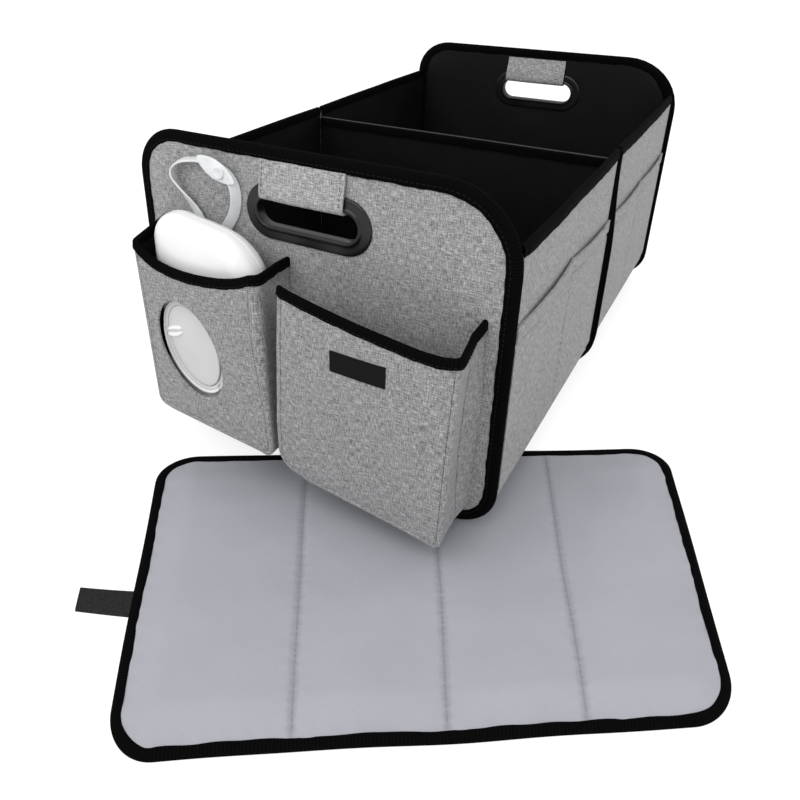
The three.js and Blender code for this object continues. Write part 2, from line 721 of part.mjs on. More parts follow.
function wipesCase() {
  const group = new THREE.Group();
  const shellGroup = new THREE.Group();
  shellGroup.position.set(CASE_X, CASE_Y, CASE_BOTTOM);
  group.add(shellGroup);

  const shell = caseBody(0).subtract(caseBody(CASE_WALL));
  const reach = CASE_HEIGHT + CASE_WIDTH;
  const rearHalf = toSolid(boxBetween([-reach, FIT / 2, -reach], [reach, reach, reach]));
  const frontHalf = toSolid(boxBetween([-reach, -reach, -reach], [reach, -FIT / 2, reach]));
  const dispensing = ellipsePoints(
    DISPENSING_WIDTH,
    DISPENSING_HEIGHT,
    LID_X - CASE_X,
    WINDOW_Z - CASE_BOTTOM,
    24,
  );
  const hole = toSolid(extrudeAlongY(new THREE.Shape(dispensing), -CASE_DEPTH, -CASE_DEPTH / 4));
  addPiece(shellGroup, 'case_base', toGeometry(shell.intersect(rearHalf)), 'whitePlastic');
  addPiece(shellGroup, 'case_cover', toGeometry(shell.intersect(frontHalf).subtract(hole)), 'whitePlastic');

  const lidPlate = toSolid(extrudeAlongY(
    new THREE.Shape(ellipsePoints(LID_WIDTH, LID_HEIGHT, 0, 0, 32, WINDOW_TILT)),
    0,
    LID_THICKNESS,
  ));
  const tabX = -LID_WIDTH / 2 + THUMB_TAB_FROM_EDGE;
  const tabRadius = THUMB_TAB_HEIGHT / 2 - STRAIGHT_END;
  const tabOutline = roundedRectangle(THUMB_TAB_WIDTH, THUMB_TAB_HEIGHT, tabRadius, tabX, 0, 4);
  const thumbTab = toSolid(extrudeAlongY(
    new THREE.Shape(tabOutline),
    -THUMB_TAB_PROUD,
    LID_THICKNESS / 2,
  ));
  const lid = addPiece(group, 'case_lid', toGeometry(lidPlate.add(thumbTab)), 'whitePlastic');
  lid.position.set(LID_X, LID_FRONT_Y, WINDOW_Z);

  addPiece(group, 'case_strap', caseStrap(), 'clearSilicone').position.y = CASE_BACK_Y + FIT;
  const snapPlate = extrudeAlongY(
    new THREE.Shape(ellipsePoints(SNAP_LENGTH, SNAP_WIDTH, 0, 0, 24)),
    -SNAP_THICKNESS,
    0,
  );
  snapPlate.rotateY(THREE.MathUtils.degToRad(-SNAP_TILT));
  const snap = addPiece(group, 'case_strap_snap', snapPlate, 'clearSilicone');
  snap.position.set(SNAP_X, CASE_BACK_Y, SNAP_Z);
  return group;
}

// Centre line of the strap: up from the case, round the loop and down again
function strapLine() {
  const tilt = THREE.MathUtils.degToRad(STRAP_TILT);
  const neckHalf = STRAP_THICKNESS * 2;
  const points = [new THREE.Vector3(STRAP_LOOP_X - neckHalf, 0, STRAP_NECK_Z)];
  const turns = 7;
  for (let step = 0; step <= turns; step += 1) {
    const angle = THREE.MathUtils.degToRad(STRAP_START_ANGLE - STRAP_SWEEP_ANGLE * step / turns);
    const x = STRAP_LOOP_WIDTH / 2 * Math.cos(angle);
    const z = STRAP_LOOP_HEIGHT / 2 * Math.sin(angle);
    points.push(new THREE.Vector3(
      STRAP_LOOP_X + x * Math.cos(tilt) - z * Math.sin(tilt),
      0,
      STRAP_LOOP_Z + x * Math.sin(tilt) + z * Math.cos(tilt),
    ));
  }
  points.push(new THREE.Vector3(STRAP_LOOP_X + neckHalf, 0, STRAP_NECK_Z));
  return new THREE.CatmullRomCurve3(points);
}

// Flat silicone strap, whose width runs along Y
function caseStrap() {
  const line = strapLine();
  const steps = 44;
  const left = [];
  const right = [];
  for (let step = 0; step <= steps; step += 1) {
    const point = line.getPointAt(step / steps);
    const tangent = line.getTangentAt(step / steps);
    const half = STRAP_THICKNESS / 2;
    left.push(new THREE.Vector2(point.x - tangent.z * half, point.z + tangent.x * half));
    right.push(new THREE.Vector2(point.x + tangent.z * half, point.z - tangent.x * half));
  }
  return extrudeAlongY(new THREE.Shape([...left, ...right.reverse()]), 0, STRAP_WIDTH);
}

// Padded mat: local X along its long side, local Y along its depth, 0 at its middle.

// Place on the mat as it lies, whose four sides differ a little in length
function matPoint(x, y) {
  const across = x / MAT_WIDTH + 1 / 2;
  const along = y / MAT_DEPTH + 1 / 2;
  const width = THREE.MathUtils.lerp(MAT_NEAR_WIDTH, MAT_FAR_WIDTH, along);
  const depth = THREE.MathUtils.lerp(MAT_LEFT_DEPTH, MAT_RIGHT_DEPTH, across);
  return new THREE.Vector2(x * width / MAT_WIDTH + MAT_SKEW * (along - 1 / 2), y * depth / MAT_DEPTH);
}

// Greatest height that the mat may have at a place, pressed flat where the organizer is on it
function pressedHeight(place) {
  const onGround = place.clone().rotateAround(new THREE.Vector2(0, 0), THREE.MathUtils.degToRad(MAT_TURN));
  const outX = Math.max(0, Math.abs(onGround.x + MAT_X) - OVERALL_WIDTH / 2);
  const outY = Math.max(0, FRONT_Y - onGround.y - MAT_Y);
  const away = Math.max(0, Math.hypot(outX, outY) - MAT_PRESS_MARGIN);
  return MAT_PRESSED_HEIGHT + away * MAT_PRESS_SLOPE;
}

// Where the columns of the pad's surface lie, and how far across its panel each one is
function padColumns(halfWidth) {
  const lines = [-halfWidth, ...MAT_SEAMS, halfWidth];
  const columns = [];
  for (let panel = 0; panel < lines.length - 1; panel += 1) {
    for (let step = 0; step < MAT_PANEL_COLUMNS; step += 1) {
      const share = step / MAT_PANEL_COLUMNS;
      columns.push({ x: THREE.MathUtils.lerp(lines[panel], lines[panel + 1], share), share });
    }
  }
  columns.push({ x: halfWidth, share: 1 });
  return columns;
}

// Height of the pad: a crown in each panel, low at the sewn lines and at the rim
function padHeight(column, y, halfWidth, halfDepth) {
  const acrossPanel = Math.sin(Math.PI * Math.min(column.share, 1 - column.share));
  const flatness = 6;
  const acrossDepth = Math.sqrt(Math.max(0, 1 - (y / halfDepth) ** flatness));
  const onEdge = Math.abs(column.x) > halfWidth - STRAIGHT_END;
  const low = onEdge ? MAT_EDGE_HEIGHT : MAT_SEAM_HEIGHT;
  const height = low + (MAT_CROWN - low) * Math.sqrt(acrossPanel);
  return MAT_EDGE_HEIGHT + (height - MAT_EDGE_HEIGHT) * acrossDepth;
}

function matPad() {
  const inset = MAT_RIM_WIDTH + FIT;
  const halfWidth = MAT_WIDTH / 2 - inset;
  const halfDepth = MAT_DEPTH / 2 - inset;
  const radius = MAT_CORNER_RADIUS - inset;
  const cornerSteps = 4;
  const middleRows = 9;
  const places = padColumns(halfWidth);
  const columns = places.length - 1;
  const rows = [];
  for (let step = 0; step <= cornerSteps; step += 1) {
    const angle = Math.PI / 2 * step / cornerSteps;
    const y = -halfDepth + radius * (1 - Math.cos(angle));
    rows.push({ y, half: halfWidth - radius * (1 - Math.sin(angle)) });
  }
  const straight = 2 * (halfDepth - radius);
  for (let step = 1; step < middleRows; step += 1) {
    rows.push({ y: -halfDepth + radius + straight * step / middleRows, half: halfWidth });
  }
  for (let step = cornerSteps; step >= 0; step -= 1) {
    rows.push({ y: -rows[step].y, half: rows[step].half });
  }
  const positions = [];
  const across = columns + 1;
  for (const top of [true, false]) {
    for (const row of rows) {
      for (const column of places) {
        const height = padHeight(column, row.y, halfWidth, halfDepth);
        const place = matPoint(column.x * row.half / halfWidth, row.y);
        positions.push(place.x, place.y, top ? Math.min(height, pressedHeight(place)) : 0);
      }
    }
  }
  const under = rows.length * across;
  const triangles = [];
  for (let row = 0; row < rows.length - 1; row += 1) {
    for (let column = 0; column < columns; column += 1) {
      const corner = row * across + column;
      triangles.push(corner, corner + 1, corner + across + 1, corner, corner + across + 1, corner + across);
      const low = under + corner;
      triangles.push(low, low + across + 1, low + 1, low, low + across, low + across + 1);
    }
  }
  const last = (rows.length - 1) * across;
  for (let column = 0; column < columns; column += 1) {
    triangles.push(column, under + column, under + column + 1, column, under + column + 1, column + 1);
    const corner = last + column;
    triangles.push(corner, corner + 1, under + corner + 1, corner, under + corner + 1, under + corner);
  }
  for (let row = 0; row < rows.length - 1; row += 1) {
    const left = row * across;
    const right = left + columns;
    triangles.push(left, left + across, under + left + across, left, under + left + across, under + left);
    triangles.push(right, under + right, under + right + across);
    triangles.push(right, under + right + across, right + across);
  }
  return closedGeometry(positions, triangles);
}

function mat() {
  const group = new THREE.Group();
  group.position.set(MAT_X, MAT_Y, 0);
  group.rotation.z = THREE.MathUtils.degToRad(MAT_TURN);
  addPiece(group, 'mat_pad', matPad(), 'matCloth');
  const outline = (inset) => roundedRectangle(
    MAT_WIDTH - 2 * inset,
    MAT_DEPTH - 2 * inset,
    MAT_CORNER_RADIUS - inset,
  ).map((point) => matPoint(point.x, point.y));
  const outer = outline(0);
  const inner = outline(MAT_RIM_WIDTH);
  const rim = extrudeAlongZ(shapeWithHoles(outer, [inner]), 0, MAT_RIM_THICKNESS);
  addPiece(group, 'mat_binding', rim, 'blackTape');
  const tabShape = roundedRectangle(MAT_TAB_LENGTH, MAT_TAB_WIDTH, MAT_TAB_THICKNESS, 0, 0, 2);
  const tab = addPiece(
    group,
    'mat_tab',
    extrudeAlongZ(new THREE.Shape(tabShape), 0, MAT_TAB_THICKNESS),
    'blackTape',
  );
  const tabY = -MAT_DEPTH / 2 + MAT_TAB_FROM_FRONT;
  const edge = matPoint(-MAT_WIDTH / 2, tabY + MAT_TAB_WIDTH / 2);
  tab.position.set(edge.x - FIT - MAT_TAB_LENGTH / 2, tabY, 0);
  return group;
}

// Assembly
const organizer = new THREE.Group();

for (const end of ['front', 'rear']) {
  const endGroup = new THREE.Group();
  endGroup.add(endPanel(end), compartmentFloor(end));
  endGroup.position.y = end === 'front' ? FRONT_Y : -FRONT_Y;
  endGroup.rotation.z = end === 'front' ? 0 : Math.PI;
  organizer.add(endGroup);
}

organizer.add(divider());

for (const [side, sign] of [['right', 1], ['left', -1]]) {
  for (let quarter = 0; quarter < 4; quarter += 1) {
    const fromMiddle = DIVIDER_HALF + SEAM_GAP + QUARTER_LENGTH / 2;
    const step = quarter === 0 || quarter === 3 ? QUARTER_LENGTH + FOLD_GAP : 0;
    const quarterGroup = sideQuarter(`${side}_side_${quarter + 1}`, sign);
    quarterGroup.position.y = (quarter < 2 ? -1 : 1) * (fromMiddle + step);
    organizer.add(quarterGroup);
  }
}

organizer.add(frontPockets());
organizer.add(wipesCase());
organizer.add(mat());

export default organizer;
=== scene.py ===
"""Trunk organizer with its wipes case and folding mat: camera, light, cloth, tape and plastic."""

from contextlib import contextmanager
from math import copysign, cos, pi, radians, sin, sqrt

import bmesh
import bpy
import numpy as np
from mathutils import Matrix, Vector

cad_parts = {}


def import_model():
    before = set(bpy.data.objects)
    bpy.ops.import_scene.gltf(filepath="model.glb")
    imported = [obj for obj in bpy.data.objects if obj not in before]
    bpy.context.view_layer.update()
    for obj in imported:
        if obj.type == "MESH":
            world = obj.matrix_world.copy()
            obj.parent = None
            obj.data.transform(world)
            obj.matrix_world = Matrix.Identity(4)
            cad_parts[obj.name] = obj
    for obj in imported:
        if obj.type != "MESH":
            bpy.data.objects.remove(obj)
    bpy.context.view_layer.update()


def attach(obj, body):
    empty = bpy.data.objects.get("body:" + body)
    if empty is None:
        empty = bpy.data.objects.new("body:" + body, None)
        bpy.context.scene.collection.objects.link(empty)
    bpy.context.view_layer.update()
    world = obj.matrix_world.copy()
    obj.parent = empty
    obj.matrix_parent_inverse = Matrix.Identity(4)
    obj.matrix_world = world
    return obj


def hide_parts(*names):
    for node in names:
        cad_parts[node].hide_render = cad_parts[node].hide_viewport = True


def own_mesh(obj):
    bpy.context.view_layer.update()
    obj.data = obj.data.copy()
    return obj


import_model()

MM = 0.001

# Sizes of the frame, in millimetres
HALF_WIDTH = 177.7
BOARD_BOTTOM = 4.3
BOARD_TOP = 302.7
TOP_LEFT_RADIUS = 42.0
TOP_RIGHT_RADIUS = 62.0
BOTTOM_RADIUS = 38.0
PANEL_OUT_Y = 292.7
PANEL_IN_Y = 289.5
LINER_IN_Y = 288.4
SLOT_Z = 250.0
SLOT_WIDTH = 99.0
SLOT_HEIGHT = 28.0
WALL_IN_X = 174.5
WALL_OUT_X = 177.7
WALL_BOTTOM = 42.6
WALL_TOP = 262.0
WALL_END_Y = 286.6
WALL_MID_Y = 3.4
DIVIDER_TOP = 250.0
FOLD_Y = 145.0
FLOOR_EDGE_TOP = 42.3
FLOOR_END_Y = 286.8
FLOOR_MID_Y = 3.0


# Meshes

@contextmanager
def editing(mesh):
    bm = bmesh.new()
    bm.from_mesh(mesh)
    yield bm
    bm.to_mesh(mesh)
    bm.free()


class Builder:
    """Collects grids of points, in millimetres, with cloth coordinates along and across them."""

    def __init__(self):
        self.points = []
        self.faces = []
        self.uvs = []
        self.count = 0

    def grid(self, points, uv=None, wrap_rows=False, wrap_columns=False, flip=False):
        points = np.asarray(points, float)
        rows, columns = points.shape[:2]
        if uv is None:
            uv = lengths(points, wrap_rows, wrap_columns)
        start = self.count
        self.points.append(points.reshape(-1, 3))
        self.count += rows * columns
        for i in range(rows if wrap_rows else rows - 1):
            for j in range(columns if wrap_columns else columns - 1):
                corners = [(i, j), (i, j + 1), (i + 1, j + 1), (i + 1, j)]
                if flip:
                    corners.reverse()
                self.faces.append([start + (a % rows) * columns + b % columns for a, b in corners])
                self.uvs.append([uv[corner] for corner in corners])
        return self

    def sheet(self, faces, uv=None):
        """A thin sheet between two matching grids, closed along its four edges."""
        for k, face in enumerate(faces):
            self.grid(face, uv=uv, flip=bool(k))
        for pick in (lambda g: g[0], lambda g: g[-1], lambda g: g[:, 0], lambda g: g[:, -1]):
            self.grid([pick(faces[0]), pick(faces[1])])
        return self

    def tube(self, rows):
        """Closed sections one after another, with both ends shut."""
        self.grid(rows, wrap_columns=True)
        for end, flip in ((0, True), (-1, False)):
            ring = np.array(rows[end])
            middle = np.repeat(ring.mean(axis=0)[None], len(ring), axis=0)
            self.grid([ring, middle], wrap_columns=True, flip=flip)
        return self

    def turned(self, outline, centre, profile):
        """Scaled copies of an upright outline; the profile gives (share of its size, y)."""
        return self.grid([upright(centre + (outline - centre) * share, y) for share, y in profile],
                         wrap_columns=True)

    def finish(self, name, material, smooth_angle=40.0, subdivide=0):
        mesh = bpy.data.meshes.new(name)
        mesh.from_pydata((np.concatenate(self.points) * MM).tolist(), [], self.faces)
        layer = mesh.uv_layers.new(name="weave")
        layer.data.foreach_set("uv", (np.array(self.uvs).reshape(-1) * MM).astype(np.float32))
        with editing(mesh) as bm:
            bmesh.ops.remove_doubles(bm, verts=bm.verts, dist=0.00001)
            bmesh.ops.dissolve_degenerate(bm, edges=bm.edges, dist=0.000001)
            bmesh.ops.recalc_face_normals(bm, faces=bm.faces)
        obj = bpy.data.objects.new(name, mesh)
        bpy.context.scene.collection.objects.link(obj)
        mesh.materials.append(material)
        if subdivide:
            smooth = obj.modifiers.new("smooth", "SUBSURF")
            smooth.levels = smooth.render_levels = subdivide
            apply_modifiers(obj)
        shade(obj, smooth_angle)
        return obj

    def dress(self, name, material, body, node=None, smooth_angle=40.0):
        return place(self.finish(name, material, smooth_angle), body, node)


def place(obj, body, node=None):
    """Hangs a piece on the body that carries it, and hides the node it stands for, where one is named."""
    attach(obj, body)
    if node:
        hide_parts(node)
    return obj


def apply_modifiers(obj):
    depsgraph = bpy.context.evaluated_depsgraph_get()
    result = bpy.data.meshes.new_from_object(obj.evaluated_get(depsgraph), depsgraph=depsgraph)
    old = obj.data
    obj.modifiers.clear()
    obj.data = result
    result.name = obj.name
    bpy.data.meshes.remove(old)


def shade(obj, angle):
    """Smooth shading, apart from edges sharper than the angle."""
    limit = radians(angle)
    with editing(obj.data) as bm:
        for face in bm.faces:
            face.smooth = True
        for edge in bm.edges:
            edge.smooth = len(edge.link_faces) != 2 or edge.calc_face_angle(0.0) < limit


def turn_outward(obj, centre):
    """Turns the faces so that their backs look towards the centre, in millimetres."""
    middle = Vector(centre) * MM
    with editing(obj.data) as bm:
        score = sum(face.normal.dot(face.calc_center_median() - middle) * face.calc_area()
                    for face in bm.faces)
        if score < 0:
            bmesh.ops.reverse_faces(bm, faces=bm.faces)


def thicken(obj, thickness, lining=None):
    """Gives a sheet its thickness, with another material on its back where one is named."""
    modifier = obj.modifiers.new("thickness", "SOLIDIFY")
    if lining:
        obj.data.materials.append(lining)
        modifier.material_offset = 1
    modifier.thickness = thickness * MM
    modifier.offset = -1.0
    apply_modifiers(obj)
    shade(obj, 50)


# Lines and outlines

def unit(vectors):
    return vectors / np.linalg.norm(vectors, axis=-1, keepdims=True)


def upright(points, y):
    """Points of (x, z) at a depth y."""
    points = np.asarray(points, float)
    return np.stack([points[..., 0], np.broadcast_to(y, points.shape[:-1]), points[..., 1]], axis=-1)


def running_length(line):
    return np.concatenate([[0], np.cumsum(np.linalg.norm(np.diff(line, axis=0), axis=1))])


def lengths(points, wrap_rows=False, wrap_columns=False):
    """Cloth coordinates of a grid: mean lengths along its rows and its columns."""
    down = np.concatenate([points, points[:1]]) if wrap_rows else points
    over = np.concatenate([points, points[:, :1]], axis=1) if wrap_columns else points
    row_steps = np.linalg.norm(np.diff(down, axis=0), axis=2).mean(axis=1)
    column_steps = np.linalg.norm(np.diff(over, axis=1), axis=2).mean(axis=0)
    v = np.concatenate([[0], np.cumsum(row_steps)])
    u = np.concatenate([[0], np.cumsum(column_steps)])
    return np.stack(np.meshgrid(u, v), axis=2)


def ripple(a, b, seed, scale):
    """Gentle uneven waves of about one either way, the same on every run."""
    random = np.random.default_rng(seed)
    total = 0.0
    for _ in range(6):
        heading = random.uniform(0, pi)
        wavelength = scale * random.uniform(0.6, 1.8)
        phase = random.uniform(0, 2 * pi)
        along = np.asarray(a) * cos(heading) + np.asarray(b) * sin(heading)
        total = total + np.sin(2 * pi * along / wavelength + phase)
    return total / 3.0


def smoothstep(low, high, value):
    t = np.clip((np.asarray(value, float) - low) / (high - low), 0, 1)
    return t * t * (3 - 2 * t)


def smoothed(line, times):
    """A line with its bends eased and its ends kept."""
    for _ in range(times):
        line[1:-1] = (line[:-2] + 2 * line[1:-1] + line[2:]) / 4
    return line


def arc(centre_x, centre_z, radius, start, steps=10):
    angles = np.radians(start + np.linspace(0, 90, steps + 1))
    return [(centre_x + radius * cos(a), centre_z + radius * sin(a)) for a in angles]


def rounded_box(low, high, radii, steps=10):
    """Outline of a box with round corners, anticlockwise from its lower right one."""
    (left, bottom), (right, top) = low, high
    a, b, c, d = radii
    return [*arc(right - a, bottom + a, a, -90, steps), *arc(right - b, top - b, b, 0, steps),
            *arc(left + c, top - c, c, 90, steps), *arc(left + d, bottom + d, d, 180, steps)]


def ellipse(width, height, centre=(0, 0), tilt=0, count=160):
    turn = radians(tilt)
    angles = np.linspace(0, 2 * pi, count, endpoint=False)
    x, z = width / 2 * np.cos(angles), height / 2 * np.sin(angles)
    return np.stack([centre[0] + x * cos(turn) - z * sin(turn),
                     centre[1] + x * sin(turn) + z * cos(turn)], axis=1)


def mirrored(half):
    """A section's points (along, across), followed by their mirror images on the other side."""
    return [*half, *((along, -across) for along, across in reversed(half))]


def resample(points, count, closed=False):
    """Points spread evenly along a line."""
    points = np.asarray(points, float)
    if closed:
        points = np.concatenate([points, points[:1]])
    along = running_length(points)
    wanted = np.linspace(0, along[-1], count, endpoint=not closed)
    return np.stack([np.interp(wanted, along, points[:, k]) for k in range(points.shape[1])], axis=1)


def catmull(points, count):
    """Smooth line through points."""
    points = np.asarray(points, float)
    padded = np.concatenate([[2 * points[0] - points[1]], points, [2 * points[-1] - points[-2]]])
    result = []
    for t in np.linspace(0, len(points) - 1, count * 4):
        k = min(int(t), len(points) - 2)
        f = t - k
        a, b, c, d = padded[k:k + 4]
        result.append(0.5 * (2 * b + (c - a) * f + (2 * a - 5 * b + 4 * c - d) * f ** 2
                             + (3 * b - a - 3 * c + d) * f ** 3))
    return resample(result, count)


def outline_normals(points):
    """Outward normals of a closed outline that runs anticlockwise."""
    tangent = unit(np.roll(points, -1, axis=0) - np.roll(points, 1, axis=0))
    return np.stack([tangent[:, 1], -tangent[:, 0]], axis=1)


def panel_outline(offset, count):
    half = HALF_WIDTH + offset
    bottom = BOTTOM_RADIUS + offset
    radii = (bottom, TOP_RIGHT_RADIUS + offset, TOP_LEFT_RADIUS + offset, bottom)
    corners = rounded_box((-half, BOARD_BOTTOM - offset), (half, BOARD_TOP + offset), radii)
    return resample(corners, count, closed=True)


def slot_outline(offset, count):
    half, radius = SLOT_WIDTH / 2 + offset, SLOT_HEIGHT / 2 + offset
    corners = rounded_box((-half, SLOT_Z - radius), (half, SLOT_Z + radius), (radius,) * 4)
    return resample(corners, count, closed=True)


def tray_line(offset, top, count):
    """Section of the compartments across the organizer: up one side from the floor to the other."""
    half, radius = HALF_WIDTH + offset, BOTTOM_RADIUS + offset
    low = BOARD_BOTTOM - offset
    return resample([(-half, top), *arc(-half + radius, low + radius, radius, 180),
                     *arc(half - radius, low + radius, radius, -90), (half, top)], count)


def annulus(inner, outer, rings):
    return inner + (outer - inner) * np.linspace(0, 1, rings)[:, None, None]


def ray_match(outline, centre, targets):
    """Points of a star-shaped outline in the same directions from a centre as the targets."""
    closed = np.concatenate([outline, outline[:1]])
    dense = np.linspace(0, len(closed) - 1, 4000)
    xs = np.interp(dense, range(len(closed)), closed[:, 0])
    zs = np.interp(dense, range(len(closed)), closed[:, 1])
    angles = np.unwrap(np.arctan2(zs - centre[1], xs - centre[0]))
    wanted = np.unwrap(np.arctan2(targets[:, 1] - centre[1], targets[:, 0] - centre[0]))
    wrapped = angles[0] + np.mod(wanted - angles[0], abs(angles[-1] - angles[0]))
    return np.stack([np.interp(wrapped, angles, xs), np.interp(wrapped, angles, zs)], axis=1)


def sweep_ring(outline, section):
    """Carries a closed section of (outward, y) round a closed outline in the upright plane."""
    rows = []
    for k, (point, normal) in enumerate(zip(outline, outline_normals(outline))):
        shape = section(k / len(outline)) if callable(section) else section
        rows.append([(point[0] + normal[0] * o, y, point[1] + normal[1] * o) for o, y in shape])
    return Builder().grid(rows, wrap_rows=True, wrap_columns=True)


def sweep_line(line, section, sides):
    """Carries a closed section of (side, up) along a line; sides gives the side direction at each point."""
    tangent = unit(np.concatenate([line[1:], line[-1:]]) - np.concatenate([line[:1], line[:-1]]))
    rows = []
    for point, ahead, side in zip(line, tangent, np.asarray(sides, float)):
        side = unit(side - ahead * side.dot(ahead))
        up = np.cross(side, ahead)
        rows.append([point + side * s + up * t for s, t in section])
    return Builder().tube(rows)


def stitches(name, line, outward, body, material, length=3.2, gap=1.3, width=0.45, proud=0.35):
    """A row of small raised stitches along a line."""
    line = np.asarray(line, float)
    along = running_length(line)
    outward = np.broadcast_to(np.asarray(outward, float), line.shape)

    def at(place_along, values):
        return np.array([np.interp(place_along, along, values[:, k]) for k in range(3)])

    builder = Builder()
    start = gap
    while start + length < along[-1]:
        rows = []
        for part, size in ((0, 0.25), (0.2, 1), (0.8, 1), (1, 0.25)):
            here = start + part * length
            centre, normal = at(here, line), at(here, outward)
            tangent = centre - at(here - 0.5, line)
            tangent /= np.linalg.norm(tangent) + 1e-9
            side = np.cross(tangent, normal)
            rise = normal * proud * (0.2 + 0.8 * min(1, 6.4 * part * (1 - part)))
            rows.append([centre + rise + (side * c + normal * s * 0.8) * width * size
                         for c, s in ellipse(2, 2, count=6)])
        builder.grid(rows, wrap_columns=True)
        start += length + gap
    builder.dress(name, material, body, smooth_angle=60)


# Materials

class Nodes:
    """Short way to make and link the nodes of a tree."""

    def __init__(self, tree):
        self.tree = tree

    def node(self, kind, inputs=(), **settings):
        node = self.tree.nodes.new(kind)
        for key, value in settings.items():
            setattr(node, key, value)
        for key, value in dict(inputs).items():
            if isinstance(value, bpy.types.NodeSocket):
                self.link(value, node.inputs[key])
            else:
                node.inputs[key].default_value = value
        return node

    def link(self, source, target):
        self.tree.links.new(source, target)

    def math(self, operation, a, b=0.0, clamp=False):
        return self.node("ShaderNodeMath", {0: a, 1: b}, operation=operation, use_clamp=clamp).outputs[0]


class Shader(Nodes):
    """A material with one principled shader, whose settings are named as its sockets are."""

    def __init__(self, name, **settings):
        self.material = bpy.data.materials.new(name)
        self.material.use_nodes = True
        super().__init__(self.material.node_tree)
        self.tree.nodes.clear()
        self.output = self.node("ShaderNodeOutputMaterial")
        self.principled = self.node("ShaderNodeBsdfPrincipled")
        self.link(self.principled.outputs[0], self.output.inputs[0])
        for key, value in settings.items():
            self.principled.inputs[key.replace("_", " ")].default_value = value

    def blend(self, *parts):
        """Sum of sockets, each times its weight."""
        total = 0.0
        for socket, weight in parts:
            total = self.math("ADD", self.math("MULTIPLY", socket, weight), total)
        return total

    def weave(self):
        """Cloth coordinates, in metres."""
        return self.node("ShaderNodeUVMap", uv_map="weave").outputs[0]

    def solid(self):
        """The piece's own coordinates, in metres."""
        return self.node("ShaderNodeTexCoord").outputs["Object"]

    def noise(self, scale, detail=2.0, roughness=0.5, source=None):
        mapping = self.node("ShaderNodeMapping", {"Vector": source or self.weave(), "Scale": scale})
        return self.node("ShaderNodeTexNoise", {
            "Vector": mapping.outputs[0], "Scale": 1.0, "Detail": detail, "Roughness": roughness}).outputs[0]

    def ramp(self, value, stops):
        node = self.node("ShaderNodeValToRGB", {0: value})
        elements = node.color_ramp.elements
        while len(elements) < len(stops):
            elements.new(0.5)
        for element, (position, colour) in zip(elements, stops):
            element.position = position
            element.color = (*colour, 1)
        return node.outputs[0]

    def bump(self, height, distance, strength):
        node = self.node("ShaderNodeBump", {"Height": height, "Distance": distance, "Strength": strength})
        self.link(node.outputs[0], self.principled.inputs["Normal"])

    def colour(self, socket):
        self.link(socket, self.principled.inputs["Base Color"])

    def roughness(self, cloud, low, spread):
        self.link(self.math("ADD", self.math("MULTIPLY", cloud, spread), low),
                  self.principled.inputs["Roughness"])


def grey(level):
    return (level, level, level * 1.01)


def heather_cloth(name, *tones):
    """Woven cloth in mixed greys: uneven warp and weft threads, with slubs and flecks."""
    s = Shader(name, Roughness=0.93, Sheen_Weight=0.18, Sheen_Roughness=0.5, Specular_IOR_Level=0.2)
    warp = s.noise((1450, 170, 1), 1.0, 0.55)
    weft = s.noise((150, 1450, 1), 1.0, 0.55)
    fleck = s.noise((1500, 1500, 1), 0.0)
    slub = s.noise((60, 1000, 1), 1.0)
    patch = s.noise((40, 30, 1))
    total = s.blend((warp, 0.50), (weft, 0.50), (fleck, 0.18), (slub, 0.14), (patch, 0.05))
    s.colour(s.ramp(s.math("SUBTRACT", total, 0.185), list(zip((0.32, 0.50, 0.68), map(grey, tones)))))
    s.bump(s.blend((warp, 1.0), (weft, 1.0), (fleck, 0.6)), 0.0005, 0.6)
    return s.material


def ribbed_tape(name, low, high):
    """Grosgrain tape: fine ribs across its length, a little dust in the weave."""
    s = Shader(name, Roughness=0.85, Specular_IOR_Level=0.035)
    ribs = s.node("ShaderNodeTexWave", {
        "Vector": s.weave(), "Scale": 130.0, "Distortion": 1.2, "Detail": 2.0, "Detail Scale": 3.0},
        bands_direction="Y").outputs["Fac"]
    mix = s.blend((ribs, 0.4), (s.noise((900, 900, 1)), 0.6))
    s.colour(s.ramp(mix, [(0.25, low), (0.8, high)]))
    s.bump(mix, 0.0004, 0.7)
    return s.material


def coated_liner(name, low, high):
    """Black coated lining: smooth, with a faint grain and a dull shine."""
    s = Shader(name, Specular_IOR_Level=0.2)
    grain = s.noise((700, 700, 1), 3.0, 0.6)
    cloud = s.noise((18, 22, 1))
    s.colour(s.ramp(s.blend((grain, 0.4), (cloud, 0.6)), [(0.3, low), (0.7, high)]))
    s.roughness(cloud, 0.52, 0.16)
    s.bump(grain, 0.00025, 0.5)
    return s.material


def satin_cloth(name, dark, light, seams):
    """Close satin weave of the mat, with faint mottling, and painted shade darkening it softly along each
    sewn line where the padding creases.
    """
    s = Shader(name, Roughness=0.62, Sheen_Weight=0.22, Sheen_Roughness=0.35, Specular_IOR_Level=0.3)
    thread = s.noise((1300, 220, 1))
    cross = s.noise((260, 1500, 1))
    mix = s.blend((thread, 0.2), (cross, 0.2), (s.noise((9, 11, 1), 3.0, 0.6), 0.6))
    # Painted shade: the colour is darkened along each sewn line and lightens back over a few millimetres to
    # either side.
    across = s.node("ShaderNodeSeparateXYZ", {0: s.weave()}).outputs[0]
    nearest = 1.0
    for seam in seams:
        nearest = s.math("MINIMUM", s.math("ABSOLUTE", s.math("SUBTRACT", across, seam * MM)), nearest)
    ragged = s.math("MULTIPLY", s.noise((60, 260, 1)), 0.006)
    crease = s.math("DIVIDE", s.math("ADD", nearest, ragged), 0.0075, clamp=True)
    shadow = s.ramp(crease, [(0.25, (0.70, 0.70, 0.71)), (1.0, (1, 1, 1))])
    colour_and_shade = s.node("ShaderNodeMix", {0: 1.0, 6: s.ramp(mix, [(0.3, dark), (0.7, light)]), 7: shadow},
                  data_type="RGBA", blend_type="MULTIPLY")
    s.colour(colour_and_shade.outputs[2])
    s.bump(s.math("ADD", thread, cross), 0.0002, 0.5)
    return s.material


